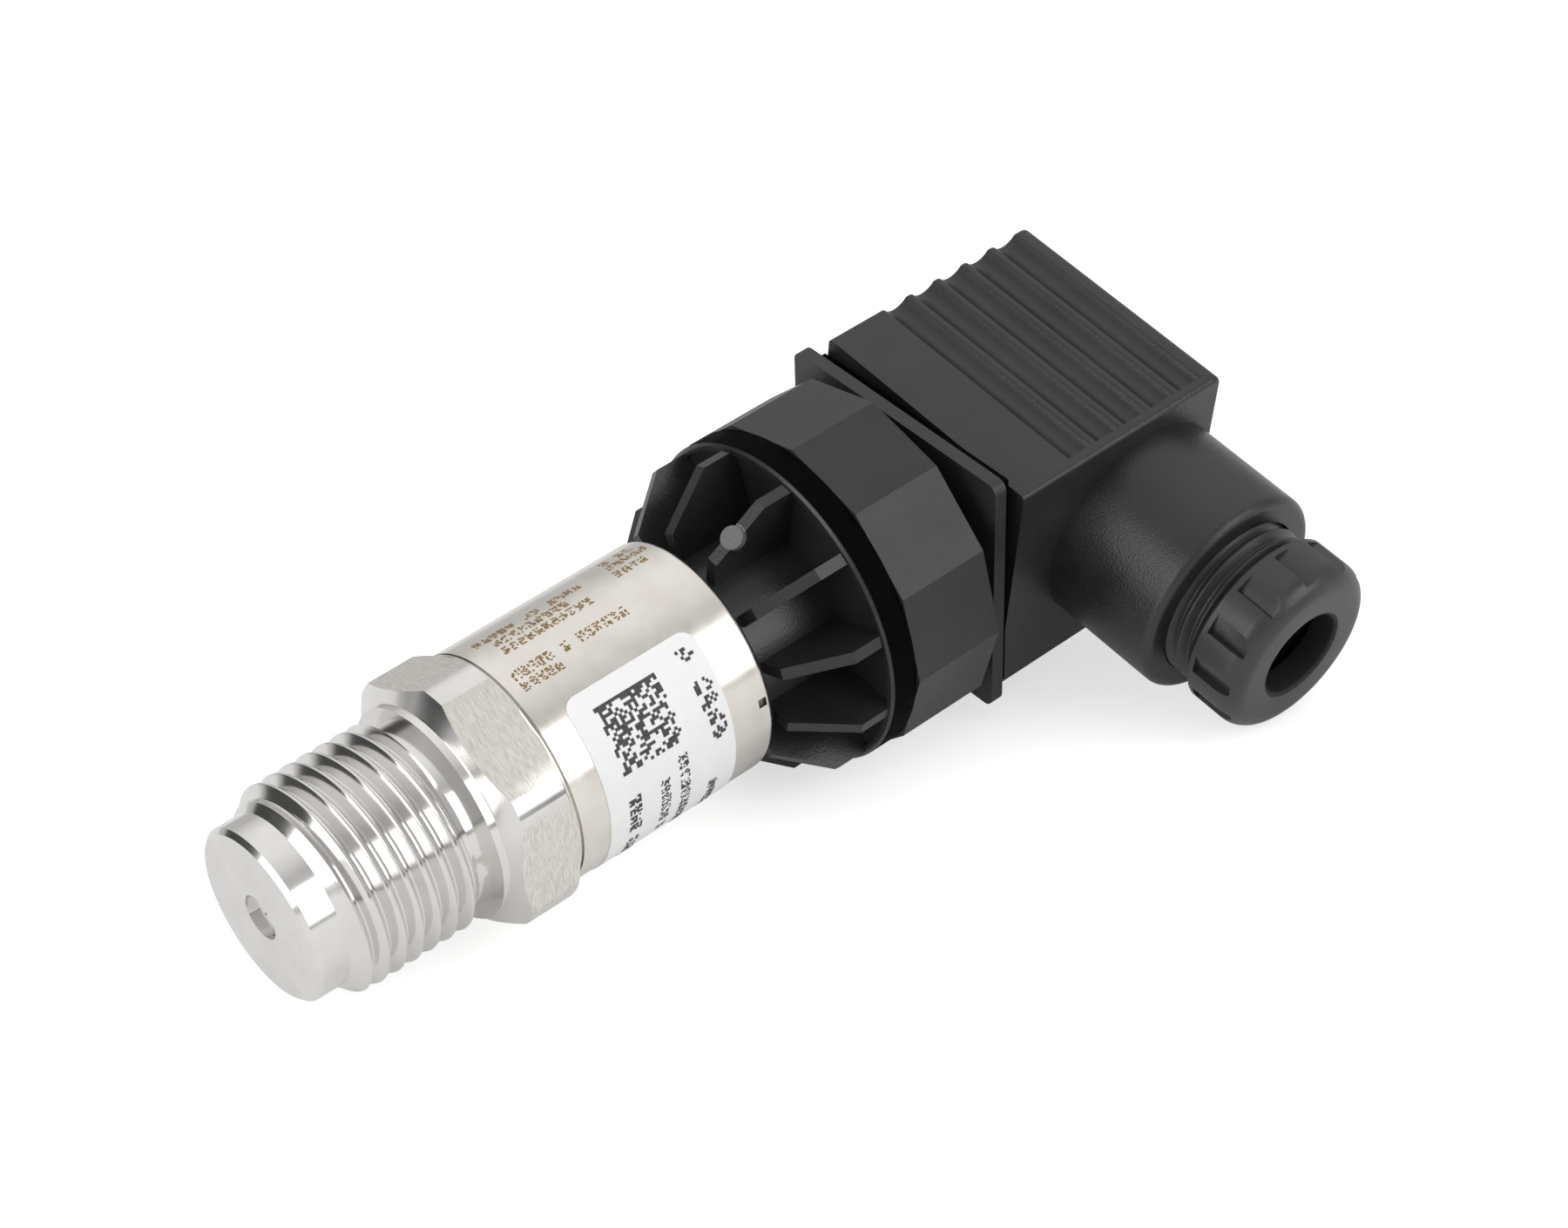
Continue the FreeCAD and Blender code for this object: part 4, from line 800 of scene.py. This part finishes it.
collar_plastic = moulded_plastic(
    "collar_plastic", (0.016, 0.0175, 0.017), (0.025, 0.027, 0.026), 4.5, 0.036, 0.36, 0.48)
collar = taken_from("connector_base", "moulded_plug_base")

# The flange's corners are sharper than the solid's: their arcs shrink to the smaller round.
flange_turn = Matrix.Rotation(math.radians(FLANGE_CLOCK), 3, "X")
for point in collar.data.vertices:
    square = flange_turn.inverted() @ point.co
    past = [abs(place) - FLANGE_HALF + FLANGE_ROUND for place in square.yz]
    if FLANGE_FROM < point.co.x < FLANGE_TO and min(past) > 0:
        square.yz = [
            math.copysign(FLANGE_HALF - SHARP_ROUND + reach * SHARP_ROUND / FLANGE_ROUND, place)
            for reach, place in zip(past, square.yz)]
        point.co = flange_turn @ square
laid_down(collar, collar_plastic, "transmitter", ["connector_base"])

brass = plain_finish("turned_brass", {"Metallic": 1.0}, 1.0, BRASS_SHADE, BRASS, 0.2, 0.3)
coated("thread_insert", brass)
plating = plain_finish("tin_plating", {"Metallic": 1.0}, 1.0, TIN_SHADE, TIN, 0.22, 0.34)
for node in ("contact_blades", "earth_blade", "terminal_sockets"):
    coated(node, plating)

# ---------------------------------------------------------------- plug housing
# One moulding: a box with finger grooves round its back, and the neck for the cable gland at
# its side. Inside sits the terminal block with its four clamped sockets.

BLOCK_SHADE = (0.2, 0.2, 0.19)
BLOCK_GREY = (0.26, 0.26, 0.25)

housing_plastic = moulded_plastic(
    "housing_plastic", (0.0165, 0.017, 0.018), (0.025, 0.0255, 0.0265), 5.0, 0.045, 0.28, 0.38)
housing = taken_from("connector_housing", "moulded_plug_housing")
laid_down(housing, housing_plastic, "connector", ["connector_housing"])
insert = plain_finish(
    "terminal_plastic", {"Specular IOR Level": 0.5}, 0.5, BLOCK_SHADE, BLOCK_GREY, 0.4, 0.5)
coated("terminal_block", insert)

# ---------------------------------------------------------------- screws
# Zinc plated steel, turned and slotted: the long screw that holds the plug on its base, and
# the four clamping screws of the terminals.

zinc = turned_steel("zinc_plating", (0.6, 0.61, 0.62), (0.68, 0.69, 0.7), 6.0, 0.002, 0.2)
coated("fixing_screw", zinc)
coated("terminal_screws", zinc)

# ---------------------------------------------------------------- cable gland
# A slip washer and a pressure screw of the same plastic. The screw's domed head has twelve
# grip notches, and its thread shows in the gap behind the head. The faces inside its bore are
# painted near black as painted shade.

GLAND_PLACE = 95.26
SHANK_TIP = 23.9
HEAD_SHOULDER = 30.4
SHANK_CREST = 8.62
SHANK_ROOT = 7.85
SHANK_PITCH = 1.5
SHANK_PAST = 8.47
SHANK_FIRST_CREST = SHANK_TIP + 1
SHANK_RUN_OUT_SLOPE = 1.2
BORE_REACH = 5.65
WASHER_SHADE = (0.06, 0.06, 0.062)
WASHER_GREY = (0.09, 0.09, 0.092)

# The screw is worked on with its own axis along X, and then brought to its place.
to_gland = Matrix.Translation((GLAND_PLACE, 0, 0)) @ Matrix.Rotation(-math.pi / 2, 4, "Z")


def on_shank(face):
    """Whether a face, seen along the gland's axis, is part of the plain shank."""
    outside = face.calc_center_median().yz.length > SHANK_PAST
    return outside and all(
        SHANK_TIP - 2 * SLACK < point.co.x < HEAD_SHOULDER + 2 * SLACK for point in face.verts)


def shank_limit(place):
    """Radius left by the run-out of the shank's thread at the head's shoulder."""
    return min(SHANK_CREST, SHANK_ROOT + (HEAD_SHOULDER - place) * SHANK_RUN_OUT_SLOPE)


slip = plain_finish(
    "slip_plastic", {"Specular IOR Level": 0.5}, 0.8, WASHER_SHADE, WASHER_GREY, 0.3, 0.4)
coated("gland_washer", slip)

pressure_screw = taken_from("gland_screw", "moulded_pressure_screw")
pressure_screw.data.transform(to_gland.inverted())
shank = thread_sleeve(
    "gland_thread", SHANK_TIP, HEAD_SHOULDER, SHANK_ROOT, SHANK_CREST, SHANK_PITCH,
    SHANK_FIRST_CREST)
threaded(pressure_screw, on_shank, shank_limit, shank, SHANK_TIP, HEAD_SHOULDER)
# Faces inside the bore get a near-black plastic: painted shade for the bore's dark inside.
in_bore = [
    all(pressure_screw.data.vertices[corner].co.yz.length < BORE_REACH for corner in face.vertices)
    for face in pressure_screw.data.polygons]
pressure_screw.data.transform(to_gland)
gland_plastic = moulded_plastic(
    "gland_plastic", (0.025, 0.0255, 0.026), (0.038, 0.0385, 0.039), 5.0, 0.02, 0.28, 0.40)
laid_down(pressure_screw, gland_plastic, "gland_screw", ["gland_screw"])
painted_bore_shade = moulded_plastic(
    "gland_bore", (0.004, 0.004, 0.0045), (0.007, 0.007, 0.0075), 5.0, 0.012, 0.6, 0.75)
pressure_screw.data.materials.append(painted_bore_shade)
for face, dark in zip(pressure_screw.data.polygons, in_bore):
    face.material_index = int(dark)

# ---------------------------------------------------------------- studio
# A small pale table top between a large softbox at the right and a weaker one at the left, in
# a room with a bright ceiling. The gap between the table and the right softbox leaves a thin
# dark line in the steel, and the unlit wall behind the left one its dark patches.
#
# A direction is (azimuth, elevation) in degrees, seen from the object.

TABLE_RADIUS = 0.27
TABLE_BELOW = 0.0002
TABLE_GREY = (0.82, 0.82, 0.82)
TABLE_GLOW = 0.62
TABLE_GLOW_MIRRORED = 0.16
LAMP_DISTANCE = 1.0

# The ceiling's brightness, by the cosine of the angle from its brightest place.
CEILING = (50, 65)
CEILING_LEVELS = ((0.3, 0.55), (0.66, 0.56), (0.84, 0.82), (0.92, 0.92), (0.98, 0.98))

# The unlit wall, in two round patches that fade out from their core to their edge.
WALLS = ((123, 12), (144, 12))
WALL_EDGE = math.cos(math.radians(18))
WALL_CORE = math.cos(math.radians(11))
WALL_DROP = 0.48

# The gap, dark up to the sine of one elevation and gone at the next, and fading at its sides.
ZENITH = (0, 90)
GAP_DARK_TO = 0.012
GAP_GONE_AT = 0.03
GAP_MIDDLE = (-62, 0)
GAP_SIDE = 0.5
GAP_CORE = 0.7
GAP_DROP = 0.42

middle = (cad_box[0] + cad_box[1]) / 2


def pointing(azimuth, elevation):
    """The direction from the object at an azimuth and elevation."""
    turn, rise = math.radians(azimuth), math.radians(elevation)
    level = math.cos(rise)
    return Vector((math.cos(turn) * level, math.sin(turn) * level, math.sin(rise)))


def soft_light(name, azimuth, elevation, width, height, radiance):
    """A glowing panel that faces the object; its width and height are in metres."""
    lamp = bpy.data.lights.new(name, "AREA")
    lamp.shape = "RECTANGLE"
    lamp.size = width
    lamp.size_y = height
    lamp.energy = radiance * math.pi * width * height
    holder = bpy.data.objects.new(name, lamp)
    bpy.context.scene.collection.objects.link(holder)
    away = pointing(azimuth, elevation)
    facing = away.to_track_quat("Z", "Y").to_matrix().to_4x4()
    holder.matrix_world = Matrix.Translation(middle + away * LAMP_DISTANCE) @ facing
    holder.visible_camera = False


def towards(tree, aim):
    """How nearly a direction in the room points at an azimuth and elevation, from -1 to 1."""
    direction = shader_node(tree, "TexCoord", {}).outputs["Generated"]
    product = shader_node(
        tree, "VectorMath", {0: direction, 1: pointing(*aim)}, operation="DOT_PRODUCT")
    return product.outputs["Value"]


def step_up(tree, value, low, high):
    """0 below `low`, 1 above `high` and a soft step between them."""
    step = shader_node(tree, "MapRange", {
        "Value": value, "From Min": low, "From Max": high}, interpolation_type="SMOOTHSTEP")
    return step.outputs["Result"]


def darkened(tree, light, share, amount):
    """The light less an amount where `share` is 1."""
    return calculated(tree, "SUBTRACT", light, calculated(tree, "MULTIPLY", share, amount))


table_top, tree, shader, _ = new_finish("table_top", {
    "Base Color": (*TABLE_GREY, 1), "Roughness": 0.8, "Specular IOR Level": 0.1,
    "Emission Color": (1, 1, 1, 1)})
path = shader_node(tree, "LightPath", {}).outputs
seen = calculated(tree, "MAXIMUM", path["Is Camera Ray"], path["Is Glossy Ray"])
seen = calculated(tree, "MAXIMUM", seen, path["Is Transmission Ray"])
glow = shader_node(tree, "MapRange", {
    "Value": path["Is Camera Ray"], "To Min": TABLE_GLOW_MIRRORED, "To Max": TABLE_GLOW})
strength = calculated(tree, "MULTIPLY", seen, glow.outputs["Result"])
tree.links.new(strength, shader.inputs["Emission Strength"])
bpy.ops.mesh.primitive_circle_add(
    vertices=128, radius=TABLE_RADIUS, fill_type="NGON",
    location=(middle.x, middle.y, -TABLE_BELOW))
bpy.ops.object.transform_apply(location=True, rotation=True, scale=True)
table = bpy.context.object
table.name = "table_top"
table.data.materials.append(table_top)

soft_light("right_softbox", -64, 23, 0.62, 0.78, 2.2)
soft_light("left_softbox", 180, 21, 0.66, 0.84, 2.3)

room = bpy.data.worlds.new("room")
bpy.context.scene.world = room
room.use_nodes = True
tree = room.node_tree
tree.nodes.clear()
greys = [(position, (level, level, level)) for position, level in CEILING_LEVELS]
light = colour_ramp(tree, towards(tree, CEILING), greys)
left_wall, right_wall = [step_up(tree, towards(tree, aim), WALL_EDGE, WALL_CORE) for aim in WALLS]
light = darkened(tree, light, calculated(tree, "MAXIMUM", left_wall, right_wall), WALL_DROP)
high = step_up(tree, towards(tree, ZENITH), GAP_DARK_TO, GAP_GONE_AT)
ahead = step_up(tree, towards(tree, GAP_MIDDLE), GAP_SIDE, GAP_CORE)
gap = calculated(tree, "MULTIPLY", calculated(tree, "SUBTRACT", 1.0, high), ahead)
light = darkened(tree, light, gap, GAP_DROP)
unlit = shader_node(tree, "Background", {"Color": light})
white = shader_node(tree, "Background", {"Color": (1, 1, 1, 1)})
camera_ray = shader_node(tree, "LightPath", {}).outputs["Is Camera Ray"]
both = shader_node(tree, "MixShader", {
    0: camera_ray, 1: unlit.outputs["Background"], 2: white.outputs["Background"]})
shader_node(tree, "OutputWorld", {"Surface": both.outputs["Shader"]})

# ---------------------------------------------------------------- camera
# It looks down on the nose from the left front with a long lens, and keeps its place against
# the steel axis, so its place and directions are those of the drawing.

CAMERA_PLACE = Vector((-108.917, -172.933, 265.076)) * MM
CAMERA_RIGHT = Vector((0.75069, -0.65853, 0.05294))
CAMERA_UP = Vector((0.46236, 0.58091, 0.66990))
CAMERA_LENS = 86.085
CAMERA_SENSOR = 36
CAMERA_NEAR = 0.01
CAMERA_FAR = 20

backward = CAMERA_RIGHT.cross(CAMERA_UP).normalized()
upward = backward.cross(CAMERA_RIGHT).normalized()
stand = Matrix((upward.cross(backward), upward, backward)).transposed().to_4x4()
stand.translation = CAMERA_PLACE
camera_data = bpy.data.cameras.new("camera")
camera_data.lens = CAMERA_LENS
camera_data.sensor_width = CAMERA_SENSOR
camera_data.clip_start = CAMERA_NEAR
camera_data.clip_end = CAMERA_FAR
camera = bpy.data.objects.new("camera", camera_data)
bpy.context.scene.collection.objects.link(camera)
camera.matrix_world = lie @ stand
bpy.context.scene.camera = camera
bpy.context.scene.view_settings.view_transform = "Standard"
